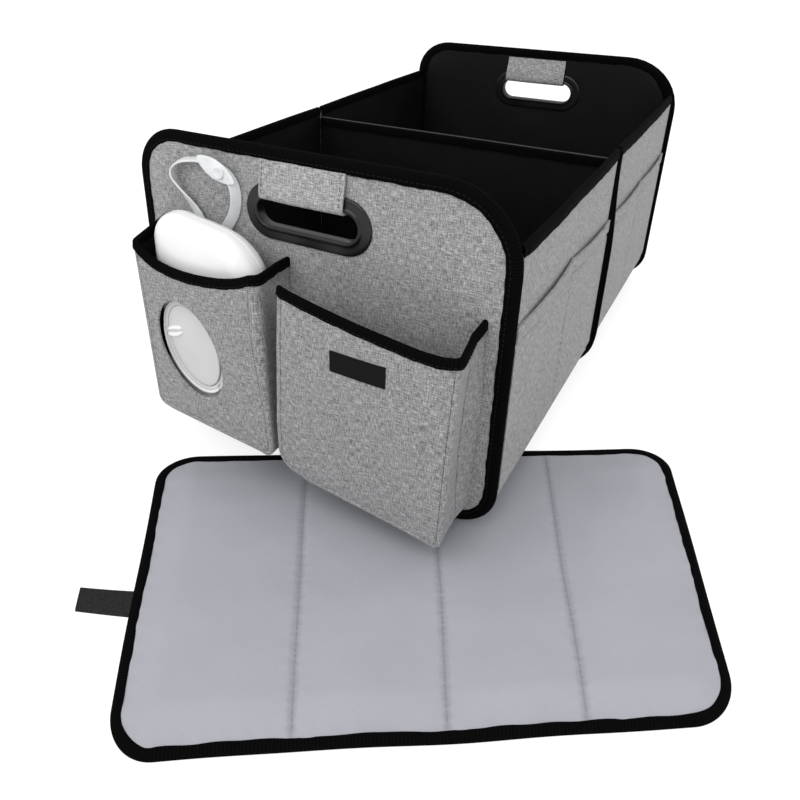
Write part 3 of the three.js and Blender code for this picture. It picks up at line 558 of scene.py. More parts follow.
def moulded_plastic(name, low, high, roughness, level=0.5, coat=0.0):
    """Moulded plastic with a very fine surface and faint handling marks."""
    s = Shader(name, Coat_Weight=coat, Coat_Roughness=0.12, Specular_IOR_Level=level)
    cloud = s.noise((30,) * 3, 3.0, source=s.solid())
    s.colour(s.ramp(cloud, [(0.3, low), (0.7, high)]))
    s.roughness(cloud, roughness * 0.8, roughness * 0.4)
    s.bump(s.noise((1600,) * 3, source=s.solid()), 0.00008, 0.5)
    return s.material


def soft_silicone(name):
    s = Shader(name, Roughness=0.32, Transmission_Weight=0.12, IOR=1.41, Subsurface_Weight=0.25,
               Subsurface_Radius=(0.004,) * 3)
    cloud = s.noise((90,) * 3, source=s.solid())
    s.colour(s.ramp(cloud, [(0.3, (0.73, 0.74, 0.75)), (0.7, (0.82, 0.83, 0.84))]))
    s.bump(s.noise((900,) * 3, 1.0, source=s.solid()), 0.0001, 0.4)
    return s.material


def hook_tape(name):
    s = Shader(name, Roughness=0.85, Specular_IOR_Level=0.3)
    hooks = s.node("ShaderNodeTexVoronoi", {"Vector": s.weave(), "Scale": 900.0}).outputs["Distance"]
    s.colour(s.ramp(hooks, [(0.1, grey(0.02)), (0.7, grey(0.007))]))
    s.bump(hooks, -0.0008, 0.8)
    return s.material


MAT_FOLDS = (-97.0, 14.0, 114.0)

GREY_CLOTH = heather_cloth("grey_heather_cloth", 0.105, 0.275, 0.52)
# The panel's grey cloth again, a little darker for the front pockets: painted shade.
SHADED_POCKET_CLOTH = heather_cloth("shaded_pocket_heather_cloth", 0.088, 0.242, 0.47)
WRAP_CLOTH = heather_cloth("wrap_heather_cloth", 0.11, 0.30, 0.58)
BLACK_TAPE = ribbed_tape("black_tape", grey(0.0008), grey(0.0028))
# Lighter tape for the ridge on the divider's top edge: painted highlight where the fold catches the light.
RIDGE_HIGHLIGHT_TAPE = ribbed_tape("painted_highlight_tape", grey(0.03), grey(0.085))
LINER = coated_liner("black_coated_liner", (0.001, 0.0011, 0.0013), (0.0025, 0.0027, 0.0033))
MAT_CLOTH = satin_cloth("mat_satin_cloth", (0.325, 0.33, 0.362), (0.365, 0.372, 0.408), MAT_FOLDS)
BLACK_PLASTIC = moulded_plastic("black_plastic", grey(0.004), grey(0.007), 0.3, 0.42)
WHITE_PLASTIC = moulded_plastic("white_plastic", grey(0.80), grey(0.83), 0.2, 0.5, 0.3)
# The white plastic made darker for the lid and its frame, which sit sunk behind the pocket's window: painted
# shade.
SHADED_LID_PLASTIC = moulded_plastic("shaded_lid_plastic", grey(0.54), grey(0.58), 0.24, 0.5, 0.2)
SILICONE = soft_silicone("clear_silicone")
HOOK_TAPE = hook_tape("hook_tape")
GREY_THREAD = moulded_plastic("grey_thread", grey(0.10), grey(0.16), 0.8, 0.2)
DARK_THREAD = moulded_plastic("dark_thread", grey(0.02), grey(0.04), 0.8, 0.2)
MAT_THREAD = moulded_plastic("mat_thread", (0.24, 0.245, 0.27), (0.29, 0.295, 0.325), 0.8, 0.2)
BLACK_THREAD = moulded_plastic("black_thread", grey(0.004), grey(0.008), 0.8, 0.1)
LABEL_RUBBER = moulded_plastic("label_rubber", grey(0.003), grey(0.005), 0.7, 0.12)


# End panels

BINDING_Y = 290.55
WRAP_HALF = 40.0
WRAP_X = -4.0


def panel_sheet(name, sign, seen_y, back_y, material, seed, wave, body, node):
    """A sheet of the end panel's outline with its handle slot, gently uneven on the side that is seen."""
    outer = panel_outline(-0.6, 300)
    inner = ray_match(slot_outline(0.6, 400), (0.0, SLOT_Z), outer)
    share = np.linspace(0, 1, 34)
    rings = annulus(inner, outer, 34)
    shape = (np.minimum(1, share * 6) * smoothstep(0, 0.12, 1 - share))[:, None]
    bump = ripple(rings[..., 0], rings[..., 1], seed, 120) * wave * shape
    if seen_y < back_y:
        bump = bump - wave * shape
    uv = np.concatenate([rings, rings[:, :1]], axis=1)
    seen = upright(rings, sign * (seen_y + bump))
    back = upright(rings, sign * back_y)
    builder = Builder()
    for face in (seen, back):
        builder.grid(face, uv=uv, wrap_columns=True)
    for k in (0, -1):
        builder.grid([seen[k], back[k]], wrap_columns=True)
    builder.dress(name, material, body, node)


def panel_binding(body, sign):
    """Tape folded over the panel's edge, a little wavy, wider at the sides of the rear panel."""
    outline = panel_outline(0.0, 420)
    sideways = np.abs(outline_normals(outline)[:, 0])

    def section(along):
        angle = 2 * pi * along
        leaf = 8.8 + 0.3 * sin(30 * angle) + 0.2 * sin(83 * angle + 1)
        rim = 1.5
        if sign < 0:
            leaf += 1.6 * sin(angle)
        else:
            rim += 3.7 * sideways[round(along * 420)] ** 2
        puff = 0.15 * sin(41 * angle + 2)
        half = [(-leaf, 2.35), (-leaf, 2.95), (-leaf + 1.2, 3.45 + puff), (-4, 3.75 + puff), (-0.8, 3.35),
                (rim - 0.6, 2.25), (rim, 0.75)]
        return [(o, sign * (BINDING_Y + y)) for o, y in (*mirrored(half), (-0.2, -2.35), (-0.2, 2.35))]

    sweep_ring(outline, section).dress(f"{body}_binding_tape", BLACK_TAPE, body, f"{body}_binding", 50)
    stitches(f"{body}_binding_stitches", upright(panel_outline(-6.6, 420), sign * (BINDING_Y + 3.5)),
             (0, sign, 0), body, BLACK_THREAD)


def grommet(body, sign):
    """Flange with its sleeve through the slot, and the ring that closes it from inside."""
    flange = [(-2, 286), (-2, 294.4), (-1.5, 295.5), (-0.5, 296.0), (0.8, 296.0), (1.7, 295.5), (2.3, 294.9),
              (3.2, 294.8), (8.4, 295.0), (9.6, 294.7), (10.3, 294.0), (10.5, 293.2), (10.5, 292.8),
              (0.1, 292.8), (0.1, 286)]
    ring = [(-1.6, 288.0), (-1.8, 286.2), (-1.0, 285.3), (0.6, 285.2), (1.4, 285.8), (2.4, 285.9),
            (8.6, 285.8), (9.8, 286.2), (10.4, 287.1), (10.4, 288.1), (0.4, 288.1)]
    for name, section, node in (("flange", flange, "grommet"), ("back", ring, "grommet_ring")):
        builder = sweep_ring(slot_outline(0.0, 160), [(o, sign * y) for o, y in section])
        place(builder.finish(f"{body}_grommet_{name}", BLACK_PLASTIC, 38, subdivide=1), body,
              f"{body}_{node}")


def handle_wrap(body, sign):
    """Padded cloth that goes through the slot and round its top edge."""
    profile = resample([(293.6, 293.5), (294.7, 290), (295.7, 282), (297.3, 274), (298.3, 267),
                        (297.8, 262.4), (295.6, 260.3), (292, 259.6), (288, 259.6), (285.2, 260.3),
                        (283.2, 262.6), (282.7, 267), (283.8, 275), (285.8, 284), (287.2, 292.4)], 60)
    rows = []
    for k, (y, z) in enumerate(profile):
        along = k / (len(profile) - 1)
        puff = (1 if y > 290 else -1) * (1 - abs(2 * along - 1)) * 1.4
        row = []
        for a in np.linspace(-1, 1, 41):
            pinch = 1 - abs(a) ** 8
            soft = 0.5 * float(ripple(a * 40, along * 90, 21, 40)) * pinch
            x = WRAP_X + a * WRAP_HALF + 0.4 * sin(along * 9 + a)
            row.append((x, sign * (y + (0.7 * pinch + soft) * puff), z))
        rows.append(row)
    obj = Builder().grid(rows).finish(f"{body}_wrap_cloth", WRAP_CLOTH, 50)
    turn_outward(obj, (WRAP_X, sign * 290.5, 276))
    thicken(obj, 1.9)
    place(obj, body, f"{body}_handle_wrap")
    for name, side in (("left", -1), ("right", 1)):
        line = [(WRAP_X + side * (WRAP_HALF - 3.2), sign * (y + 0.85), z) for y, z in profile[:24]]
        stitches(f"{body}_wrap_stitches_{name}", line, (0, sign, 0), body, GREY_THREAD, width=0.35,
                 proud=0.25)


for end_name, end_sign in (("front", -1), ("rear", 1)):
    panel_sheet(f"{end_name}_panel_cloth", end_sign, PANEL_OUT_Y, PANEL_IN_Y, GREY_CLOTH, 4 + end_sign, 0.7,
                end_name, f"{end_name}_panel")
    panel_sheet(f"{end_name}_lining", end_sign, LINER_IN_Y, PANEL_IN_Y - 0.3, LINER, 9 - 2 * end_sign, 0.55,
                end_name, f"{end_name}_liner")
    panel_binding(end_name, end_sign)
    grommet(end_name, end_sign)
    handle_wrap(end_name, end_sign)


# Side walls

QUARTER_OVERLAP = 0.07
QUARTER_SPAN = 141.3
POCKET_SPAN = 141.0
SEAM_REACH = 125.0
POCKET_LOW = 46.0
POCKET_HIGH = 202.0
HEM = 16.0


def tape_over(line, side, half_thickness, top, leaf, seed, puff=lambda y: 1.0):
    """Tape folded over an upright edge; the line has the edge's points as (x, y)."""
    rows = []
    for k, (x, y) in enumerate(line):
        wave = 0.3 * sin(k * 0.7 + seed)
        outer = half_thickness + 1.35 * puff(y)
        inner = half_thickness - 0.1
        shape = [(-inner, -leaf - wave), (-outer, -leaf - wave), (-outer - 0.2, -leaf + 1.5), (-outer, -1),
                 (-outer * 0.7, 0.9), (0, 1.45), (outer * 0.7, 0.9), (outer, -1), (outer + 0.2, -leaf + 1.5),
                 (outer, -leaf + wave), (inner, -leaf + wave), (inner, -0.3), (-inner, -0.3)]
        rows.append([(x + side[0] * s, y + side[1] * s, top + z) for s, z in shape])
    return Builder().tube(rows)


def seam_lean(z):
    """How far the side walls are pulled in at the divider, towards its top."""
    return 0.8 * smoothstep(110, WALL_TOP, z)


def side_bow(y, z, seed):
    """How far a side wall stands out of its plane: not at its folds, and a little inward at its seams."""
    quarter = np.abs(np.sin(np.pi * (np.abs(y) - WALL_MID_Y) / QUARTER_SPAN))
    up = smoothstep(WALL_BOTTOM, WALL_TOP, z)
    drawn_in = (0.6 * smoothstep(FOLD_Y, WALL_END_Y, np.abs(y))
                + seam_lean(z) * smoothstep(SEAM_REACH, 5, np.abs(y)))
    return quarter * (0.6 + 0.2 * up) + ripple(y, z, seed, 110) * 0.35 * quarter - drawn_in


def beside(x, y, z):
    return np.stack([x, y, z], axis=2)


def side_quarter(body, sign, y_low, y_high, seed):
    """One stiff quarter of a side wall: cloth outside, lining inside and tape on its top edge."""
    y, z = np.meshgrid(np.linspace(y_low, y_high, 30), np.linspace(WALL_BOTTOM - 0.2, WALL_TOP - 0.6, 36))
    bow = side_bow(y, z, seed)
    for name, outer, inner, material, node in (
            ("cloth", WALL_OUT_X + 0.1, WALL_OUT_X - 1.5, GREY_CLOTH, f"{body}_wall"),
            ("lining", WALL_IN_X + 1.5, WALL_IN_X - 0.1, LINER, None)):
        faces = [beside(sign * (x + bow), y, z) for x in (outer, inner)]
        Builder().sheet(faces, np.stack([y, z], axis=2)).dress(f"{body}_{name}", material, body, node)
    reach = 0.7
    edge = [(sign * (WALL_IN_X + 1.6 + float(side_bow(v, WALL_TOP, seed))), v)
            for v in np.linspace(y_low - reach * (y_low < -200), y_high + reach * (y_high > 200), 50)]
    tape = tape_over(edge, (1, 0), 1.6, WALL_TOP - 0.2, 8.2, seed,
                     lambda v: 1.0 - 0.8 * float(smoothstep(278, 285, abs(v))))
    tape.dress(f"{body}_tape", BLACK_TAPE, body, f"{body}_top_tape", 50)
    side_pocket(body, sign, y_low, y_high, seed)


def side_pocket(body, sign, y_low, y_high, seed):
    """Flat pocket outside a wall quarter: a hemmed sheet that stands off a little at its mouth."""
    columns, hem_row = 30, 29
    near_fold = min((y_low, y_high), key=lambda v: abs(abs(v) - FOLD_Y))
    height = POCKET_HIGH - POCKET_LOW
    levels = np.concatenate([np.linspace(POCKET_LOW, POCKET_HIGH - HEM, hem_row + 1),
                             np.linspace(POCKET_HIGH - HEM, POCKET_HIGH, 11)[1:]])
    ys = np.linspace(y_low + 0.5, y_high - 0.5, columns)
    ys = ys - 2.2 * np.sin(2 * np.pi * np.linspace(0, 1, columns))
    y, level = np.meshgrid(ys, levels)
    mouth = np.interp(y, [-286, -145.5, -144.5, -4, 4, 145, 286], [198, 201, 200, 189.5, 190.5, 189, 188])
    z = POCKET_LOW + (level - POCKET_LOW) * (mouth - POCKET_LOW) / height
    up = np.clip((level - POCKET_LOW) / height, 0, 1)
    across = np.clip(np.abs(y - near_fold) / POCKET_SPAN, 0, 1)
    open_share = smoothstep(0, 0.25, 1 - across)
    stand = 0.35 + 2.6 * up ** 4 * open_share * (0.45 + 0.55 * np.sin(np.pi * across))
    stand += 0.2 * np.abs(ripple(y, z, seed + 50, 60)) * open_share
    stand -= 1.3 * smoothstep(5.0, 0.0, POCKET_SPAN * across)
    crease = np.exp(-((level - (POCKET_HIGH - HEM)) / 1.2) ** 2)
    inner = WALL_OUT_X + side_bow(y, z, seed) + stand
    outer = inner + 1.5 + 0.5 * (level > POCKET_HIGH - HEM) - crease
    faces = [beside(sign * x, y, z) for x in (outer, inner)]
    pocket = Builder().sheet(faces, np.stack([y + 13, z + 7], axis=2))
    pocket.dress(f"{body}_pocket_cloth", GREY_CLOTH, body, f"{body}_pocket", 50)
    stitches(f"{body}_hem_stitches", faces[0][hem_row] + np.array([sign * 0.1, 0, 0]), (sign, 0, 0), body,
             DARK_THREAD, width=0.45, proud=0.15)


QUARTERS = ((-WALL_END_Y, -FOLD_Y + QUARTER_OVERLAP), (-FOLD_Y - QUARTER_OVERLAP, -WALL_MID_Y),
            (WALL_MID_Y, FOLD_Y + QUARTER_OVERLAP), (FOLD_Y - QUARTER_OVERLAP, WALL_END_Y))
for side_name, side_sign in (("right", 1), ("left", -1)):
    for number, (low_y, high_y) in enumerate(QUARTERS, 1):
        side_quarter(f"{side_name}_side_{number}", side_sign, low_y, high_y, 30 + number)


# Divider

def divider_board():
    columns = 60
    grid = []
    for height in np.linspace(BOARD_BOTTOM + 0.3, DIVIDER_TOP - 1, 40):
        rise = max(0.0, BOARD_BOTTOM + BOTTOM_RADIUS - height)
        corner = BOTTOM_RADIUS - sqrt(max(0.0, BOTTOM_RADIUS ** 2 - rise ** 2))
        half = HALF_WIDTH - 3.6 - corner - seam_lean(height)
        grid.append([(x, height) for x in np.linspace(-half, half, columns)])
    grid = np.array(grid)
    edge = np.sin(np.pi * np.linspace(0, 1, columns)) ** 0.5
    wave = ripple(grid[..., 0], grid[..., 1], 61, 150) * 0.8 * edge
    board = Builder().sheet([upright(grid, wave + side) for side in (-1.6, 1.6)], grid)
    board.dress("divider_cloth", LINER, "divider", "divider_board")

    # Tape over the top edge, with a lighter ridge along it: a painted highlight where the edge's fold catches
    # the light
    top_x = np.linspace(-172, 172, columns)
    top_wave = ripple(top_x, DIVIDER_TOP, 61, 150) * 0.8 * edge
    tape = tape_over(zip(top_x, top_wave), (0, 1), 1.7, DIVIDER_TOP - 0.2, 8.6, 3)
    tape.dress("divider_edge_tape", BLACK_TAPE, "divider", "divider_top_tape", 50)
    line = np.stack([top_x, top_wave - 0.6, np.full(columns, DIVIDER_TOP + 1.0)], axis=1)
    welt = sweep_line(line, ellipse(2.2, 1.6, count=10), [(0, 1, 0)] * columns)
    welt.dress("divider_highlight_welt", RIDGE_HIGHLIGHT_TAPE, "divider", smooth_angle=60)


def divider_fin():
    """Tape over the outside seam, from one wall's top round under the floor to the other's."""
    line = tray_line(0.35, 261.0, 150)
    step = unit(np.concatenate([line[1:], line[-1:]]) - np.concatenate([line[:1], line[:-1]]))
    section = [(0, -6.0), (1.5, -5.8), (1.9, -3.4), (3.2, -2.3), (6.6, -1.9), (7.3, 0), (6.6, 1.9),
               (3.2, 2.3), (1.9, 3.4), (1.5, 5.8), (0, 6.0), (0, 0)]
    rows = []
    for (x, z), (ahead_x, ahead_z) in zip(line, step):
        x -= copysign(seam_lean(z), x)
        flat = (1 - 0.6 * smoothstep(150, 250, z)) * (0.15 + 0.85 * smoothstep(6, 60, z))
        rows.append([(x + ahead_z * s * flat, t, z - ahead_x * s * flat) for s, t in section])
    Builder().tube(rows).dress("divider_outer_tape", BLACK_TAPE, "divider", "divider_seam_tape", 50)


divider_board()
divider_fin()


# Compartment floors and the hook strips under them

STRIP_X = 95.0
STRIP_Y = 129.0
STRIP_LOW = 0.05
STRIP_LOW_OVER_MAT = 2.45
STRIP_TOP = 3.9


def floor_sheet(body, sign, offsets, rise, name, material, node=None):
    count = 110
    faces = []
    for offset in offsets:
        line = tray_line(offset, FLOOR_EDGE_TOP, count)
        level = np.clip(1 - (line[:, 1] - BOARD_BOTTOM) / 6, 0, 1)
        grid = []
        for y in np.linspace(FLOOR_MID_Y, FLOOR_END_Y, 50):
            flat = np.sin(np.pi * (y - FLOOR_MID_Y) / (FLOOR_END_Y - FLOOR_MID_Y))
            lift = rise * np.abs(ripple(line[:, 0], np.full(count, y), 71, 120)) * flat * level
            grid.append(np.stack([line[:, 0], np.full(count, sign * y), line[:, 1] + lift], axis=1))
        faces.append(np.array(grid))
    obj = Builder().sheet(faces, lengths(faces[0])).dress(name, material, body, node)
    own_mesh(obj)


def hook_strip(name, body, centre, half, low, top, node):
    half = np.array(half)
    outline = np.array(rounded_box(-half, half, (5,) * 4, 5))
    rows = []
    for share, z in ((0.0, low), (0.97, low), (1.0, low + 0.4), (1.0, top - 0.5), (0.98, top), (0.0, top)):
        rows.append(np.column_stack([np.array(centre) + outline * share, np.full(len(outline), z)]))
    return Builder().grid(rows, wrap_columns=True).dress(name, HOOK_TAPE, body, node)


for end_name, end_sign in (("front", -1), ("rear", 1)):
    floor_sheet(end_name, end_sign, (0.0, -1.5), 0.7, f"{end_name}_floor_cloth", GREY_CLOTH,
                f"{end_name}_floor")
    floor_sheet(end_name, end_sign, (-1.7, -3.2), 1.12, f"{end_name}_floor_lining", LINER)
    for strip_name, strip_x in (("left", end_sign * STRIP_X), ("right", -end_sign * STRIP_X)):
        over_mat = end_name == "front" and strip_name == "right"
        strip = hook_strip(f"{end_name}_hook_tape_{strip_name}", end_name, (strip_x, end_sign * STRIP_Y),
                           (12.5, 70.0), STRIP_LOW_OVER_MAT if over_mat else STRIP_LOW, STRIP_TOP,
                           f"{end_name}_hook_strip_{strip_name}")
        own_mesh(strip)
hook_strip("divider_hook_tape", "divider", (-47.0, 0.0), (47.0, 12.5), STRIP_LOW, 2.6, "divider_hook_strip")


# Pockets on the front panel

POCKET_Y = -350.0
POCKET_BACK_Y = -293.2
POCKET_MOUTH = 210.0
VALLEY = 0.6


class Pocket:
    """A box pocket: a front face with rounded lower corners and a pleated gusset round it."""

    def __init__(self, name, left, right, bottom, top, radii, leans, drops, edge_round, pleat, seed,
                 window=None):
        self.name = name
        self.left, self.right, self.bottom, self.top = left, right, bottom, top
        self.radii, self.leans, self.drops = radii, leans, drops
        self.edge_round, self.pleat = edge_round, pleat
        self.seed = seed
        self.window = window

    def side_line(self, count):
        """Down the left side, along the bottom and up the right side, as (x, z)."""
        left_radius, right_radius = self.radii
        left_z = self.bottom(self.left(0)) + left_radius
        right_z = self.bottom(self.right(0)) + right_radius
        left_x, right_x = self.left(left_z) + left_radius, self.right(right_z) - right_radius
        left_top, right_top = self.top(self.left(POCKET_MOUTH)), self.top(self.right(POCKET_MOUTH))
        return resample([
            *((self.left(z), z) for z in np.linspace(left_top, left_z, 30)),
            *arc(left_x, left_z, left_radius, 180)[1:],
            *((x, self.bottom(x)) for x in np.linspace(left_x, right_x, 20)[1:-1]),
            *arc(right_x, right_z, right_radius, -90),
            *((self.right(z), z) for z in np.linspace(right_z, right_top, 30)[1:])], count)

    def swell(self, x, z):
        """How far the front face stands out of its plane."""
        left, right, bottom = self.left(120), self.right(120), self.bottom(x)
        across = np.clip((x - left) / (right - left), 0, 1)
        up = np.clip((z - bottom) / (205 - bottom), 0, 1)
        cushion = np.sin(np.pi * across) ** 0.6 * np.sin(np.pi * np.clip(up * 0.9, 0, 1)) ** 0.6
        return 2.0 * cushion + 0.7 * ripple(x, z, self.seed, 90) * np.sin(np.pi * across) ** 0.5

    def top_edge(self, right_corner, left_corner):
        """The mouth's line from right to left, eased and led to the corners."""
        xs = np.linspace(right_corner[0], left_corner[0], 60)
        top = smoothed(np.stack([xs, [self.top(x) for x in xs]], axis=1), 12)
        for end, corner in ((0, right_corner), (-1, left_corner)):
            miss = corner[1] - top[end, 1]
            top[:, 1] += miss * np.exp(-np.abs(top[:, 0] - corner[0]) / 9.0)
            top[end] = corner
        return top

    def front_face(self, builder, edge):
        """Front face from its rounded edge inwards, with a sewn groove along its sides and bottom."""
        top = self.top_edge(edge[-1], edge[0])
        loop = np.concatenate([edge, top[1:-1]])
        if self.window is None:
            centre = np.array([(self.left(120) + self.right(120)) / 2, 118.0])
            inner = centre + (loop - centre) * 0.02
        else:
            inner = ray_match(self.window, self.window.mean(axis=0), loop)
        heading = unit(inner - loop)
        rings = np.concatenate([[loop + heading * inset for inset in (0.0, 1.0, 1.7, 2.1, 2.5, 3.4)],
                                annulus(loop + heading * 4.6, inner, 42)])
        border = smoothstep(0, 14, np.linalg.norm(rings - loop, axis=2))
        groove = np.zeros(rings.shape[:2])
        groove[2:5, :len(edge)] = np.array([0.3, 1.1, 0.3])[:, None]
        grid = upright(rings, POCKET_Y - self.swell(rings[..., 0], rings[..., 1]) * border + groove)
        uv = np.concatenate([rings, rings[:, :1]], axis=1)
        builder.grid(grid, uv=uv, wrap_columns=True)
        if self.window is None:
            middle = np.repeat(grid[-1].mean(axis=0)[None], len(loop), axis=0)
            builder.grid([grid[-1], middle], uv=np.stack([uv[-1], uv[-1]]), wrap_columns=True)
        return top, grid[3, 4:len(edge) - 4]

    def gusset(self, side, normals, rounds, along):
        """Round the front edge, then back to the panel with a pleat sunk in its middle."""
        high = smoothstep(120, 205, side[:, 1])
        drop = np.where(along < 0.5, *self.drops) * high
        lean = (self.leans[0] * smoothstep(0.5, 0.35, along)
                + self.leans[1] * smoothstep(0.65, 0.8, along) * high)
        rows = []
        for angle in np.linspace(0, pi / 2, 5):
            rows.append(upright(side - normals * (rounds * (1 - sin(angle)))[:, None],
                                POCKET_Y + rounds * (1 - cos(angle))))
        start_y = POCKET_Y + rounds
        for part in (*np.linspace(0, 0.57, 13)[1:], 0.585, VALLEY, 0.615, *np.linspace(0.64, 1, 9)):
            valley = part / VALLEY if part < VALLEY else (1 - part) / (1 - VALLEY)
            fold = (valley + 0.8 * (part == VALLEY)) * self.pleat(along) * (1 - 0.75 * high)
            wobble = 0.5 * ripple(along * 400, np.full(len(along), part * 50), self.seed + 9, 60) \
                * sin(pi * part)
            row = upright(side - normals * (fold + wobble)[:, None],
                          start_y + (POCKET_BACK_Y - start_y) * part)
            row[:, 0] += lean * part
            row[:, 2] -= drop * part ** 0.9
            rows.append(row)
        return np.array(rows)

    def build(self):
        side = self.side_line(150)
        tangent = unit(np.gradient(side, axis=0))
        normals = np.stack([tangent[:, 1], -tangent[:, 0]], axis=1)
        along = np.linspace(0, 1, len(side))
        rounds = np.array([self.edge_round(t) for t in along])
        builder = Builder()
        top, seam = self.front_face(builder, side - normals * rounds[:, None])
        gusset = self.gusset(side, normals, rounds, along)
        builder.grid(gusset)
        # The pocket's cloth is the panel's grey cloth made darker: painted shade.
        obj = builder.finish(f"{self.name}_cloth", SHADED_POCKET_CLOTH, 50)
        turn_outward(obj, (float(side[:, 0].mean()), -320.0, 120.0))
        thicken(obj, 1.8, LINER)
        place(obj, "front", self.name)
        stitches(f"{self.name}_seam_stitches", seam, (0, -1, 0), "front", DARK_THREAD, length=2.4, gap=0.8,
                 width=0.35, proud=0.1)
        front = upright(top[::-1], POCKET_Y)[1:-1]
        self.binding(np.concatenate([gusset[::-1, 0], front, gusset[:, -1]]))

    def binding(self, edge):
        """Tape folded over the pocket's top edge, from the panel round the front and back."""
        line = smoothed(resample(edge, 150), 4)
        tangent = np.gradient(line, axis=0)
        tangent[:, 2] = 0
        tangent = unit(tangent)
        outward = np.stack([tangent[:, 1], -tangent[:, 0], np.zeros(len(line))], axis=1)
        rows = []
        for k, (point, out) in enumerate(zip(line, outward)):
            drop = 7.8 + 0.2 * sin(k * 0.55 + self.seed) + 0.12 * sin(k * 1.31)
            shape = [(0.6, -drop), (1.3, -drop), (1.7, -drop + 1.2), (1.8, -3.5), (1.5, -0.6), (0.7, 0.9),
                     (-0.9, 1.2), (-2.4, 0.5), (-3.0, -1.0), (-3.1, -3.5), (-2.9, -drop + 1.2), (-2.5, -drop),
                     (-2.0, -drop), (-2.0, -1.2), (0.2, -1.2), (0.2, -drop + 0.2)]
            rows.append([point + out * s + np.array([0, 0, t + 0.6]) for s, t in shape])
        Builder().tube(rows).dress(f"{self.name}_edge_tape", BLACK_TAPE, "front", f"{self.name}_tape", 50)
        stitches(f"{self.name}_tape_stitches", line + outward * 1.75 + np.array([0, 0, -4.9]), outward,
                 "front", BLACK_THREAD)


wipes_pocket = Pocket(
    "wipes_pocket",
    left=lambda z: -141.0 + 7.0 * (1 - np.clip((z - 45) / 165, 0, 1)),
    right=lambda z: np.interp(z, [60, 110, 155, 190], [-3.7, -6.9, -9.6, -11.0]),
    bottom=lambda x: 57.0 + (x + 134) / 129 * -11.5,
    top=lambda x: np.interp(x, [-141, -130, -112, -92, -74, -50, -28, -12],
                            [221, 212.5, 206, 203.5, 203.5, 206, 211, 217]),
    radii=(11.0, 9.0), leans=(-15.0, -9.0), drops=(-2.0, 6.0),
    edge_round=lambda t: 3.0 + 4.5 * float(smoothstep(0.7, 0.9, t)),
    pleat=lambda t: 1.5 + 4.5 * smoothstep(0.6, 0.75, t),
    seed=81, window=ellipse(64, 94, (-86.2, 130.6), 23))
wipes_pocket.build()
wide_pocket = Pocket(
    "wide_pocket",
    left=lambda z: np.interp(z, [40, 86, 165, 213], [2.0, 1.0, 4.5, 7.7]),
    right=lambda z: 162.0 - 6.0 * (1 - np.clip((z - 27) / 183, 0, 1)),
    bottom=lambda x: 38.0 + (x - 4) / 152 * -18.0,
    top=lambda x: np.interp(x, [3, 14, 45, 79, 110, 130, 150, 162],
                            [216, 213.5, 207, 201, 197, 194.5, 194, 197.5]),
    radii=(22.0, 7.0), leans=(0.0, -5.0), drops=(62.0, -3.0),
    edge_round=lambda t: 3.5 - 1.2 * float(smoothstep(0.55, 0.65, t)),
    pleat=lambda t: 2.0 + 4.6 * smoothstep(0.62, 0.8, t),
    seed=91)
wide_pocket.build()


LABEL_X = (57, 105)
LABEL_Z = (157.5, 175.5)


def label():
    """Blank label on the wide pocket."""
    plane = np.stack(np.meshgrid(np.linspace(*LABEL_X, 24), np.linspace(*LABEL_Z, 10)), axis=2)
    surface = POCKET_Y - wide_pocket.swell(plane[..., 0], plane[..., 1])
    plate = Builder().sheet([upright(plane, surface - 0.9), upright(plane, surface + 0.3)])
    plate.dress("label_plate", LABEL_RUBBER, "front", "blank_label")


label()


# Wipes case

CASE_X = -78.5
CASE_HALF = 54.7
CASE_BOTTOM = 47.6
CASE_TOP = 240.4
CASE_Y = -321.3
CASE_DEPTH = 21.0
CASE_CROWN = 1.6
LID_CENTRE = np.array([-88.0, 131.0])
LID_FACE_Y = -343.2
LID_WIDTH = 50.6
LID_HEIGHT = 78.6
LID_TILT = 22.0
HINGE_X = (-63.6, -62.4)
CASE_LIP = ((1.4, 0.08), (0.5, 0.1), (0.15, 0.22), (0.04, 0.5), (0, 1.2))


def case_outline(inset):
    """Outline of the case, whose top slopes down to the right."""
    radii = [max(2.0, radius - inset) for radius in (30, 40, 27, 30)]
    points = resample(rounded_box((CASE_X - CASE_HALF + inset, CASE_BOTTOM + inset),
                                  (CASE_X + CASE_HALF - inset, CASE_TOP - inset), radii), 160, closed=True)
    slope = (points[:, 0] - CASE_X) / 59 * (points[:, 1] - CASE_BOTTOM) / (CASE_TOP - CASE_BOTTOM)
    points[:, 1] -= 10.0 * slope + 1.0 * np.abs(slope)
    return points


def case_shell(name, sign, edge, reach, node):
    """Half of the case: from the parting line round the edge to the crowned face."""
    shoulder = CASE_DEPTH - CASE_CROWN
    turn = ((edge * (1 - cos(angle)), shoulder - reach * (1 - sin(angle)))
            for angle in np.linspace(0, pi / 2, 14)[1:])
    rows = [upright(case_outline(inset), CASE_Y + sign * y) for inset, y in (*CASE_LIP, *turn)]
    middle = np.array([CASE_X, (CASE_BOTTOM + CASE_TOP) / 2])
    for part in np.linspace(1, 0, 16)[1:]:
        rows.append(upright(middle + (case_outline(edge) - middle) * part,
                            CASE_Y + sign * (shoulder + CASE_CROWN * (1 - part ** 2))))
    Builder().grid(rows, wrap_columns=True).dress(name, WHITE_PLASTIC, "wipes_case", node, 50)


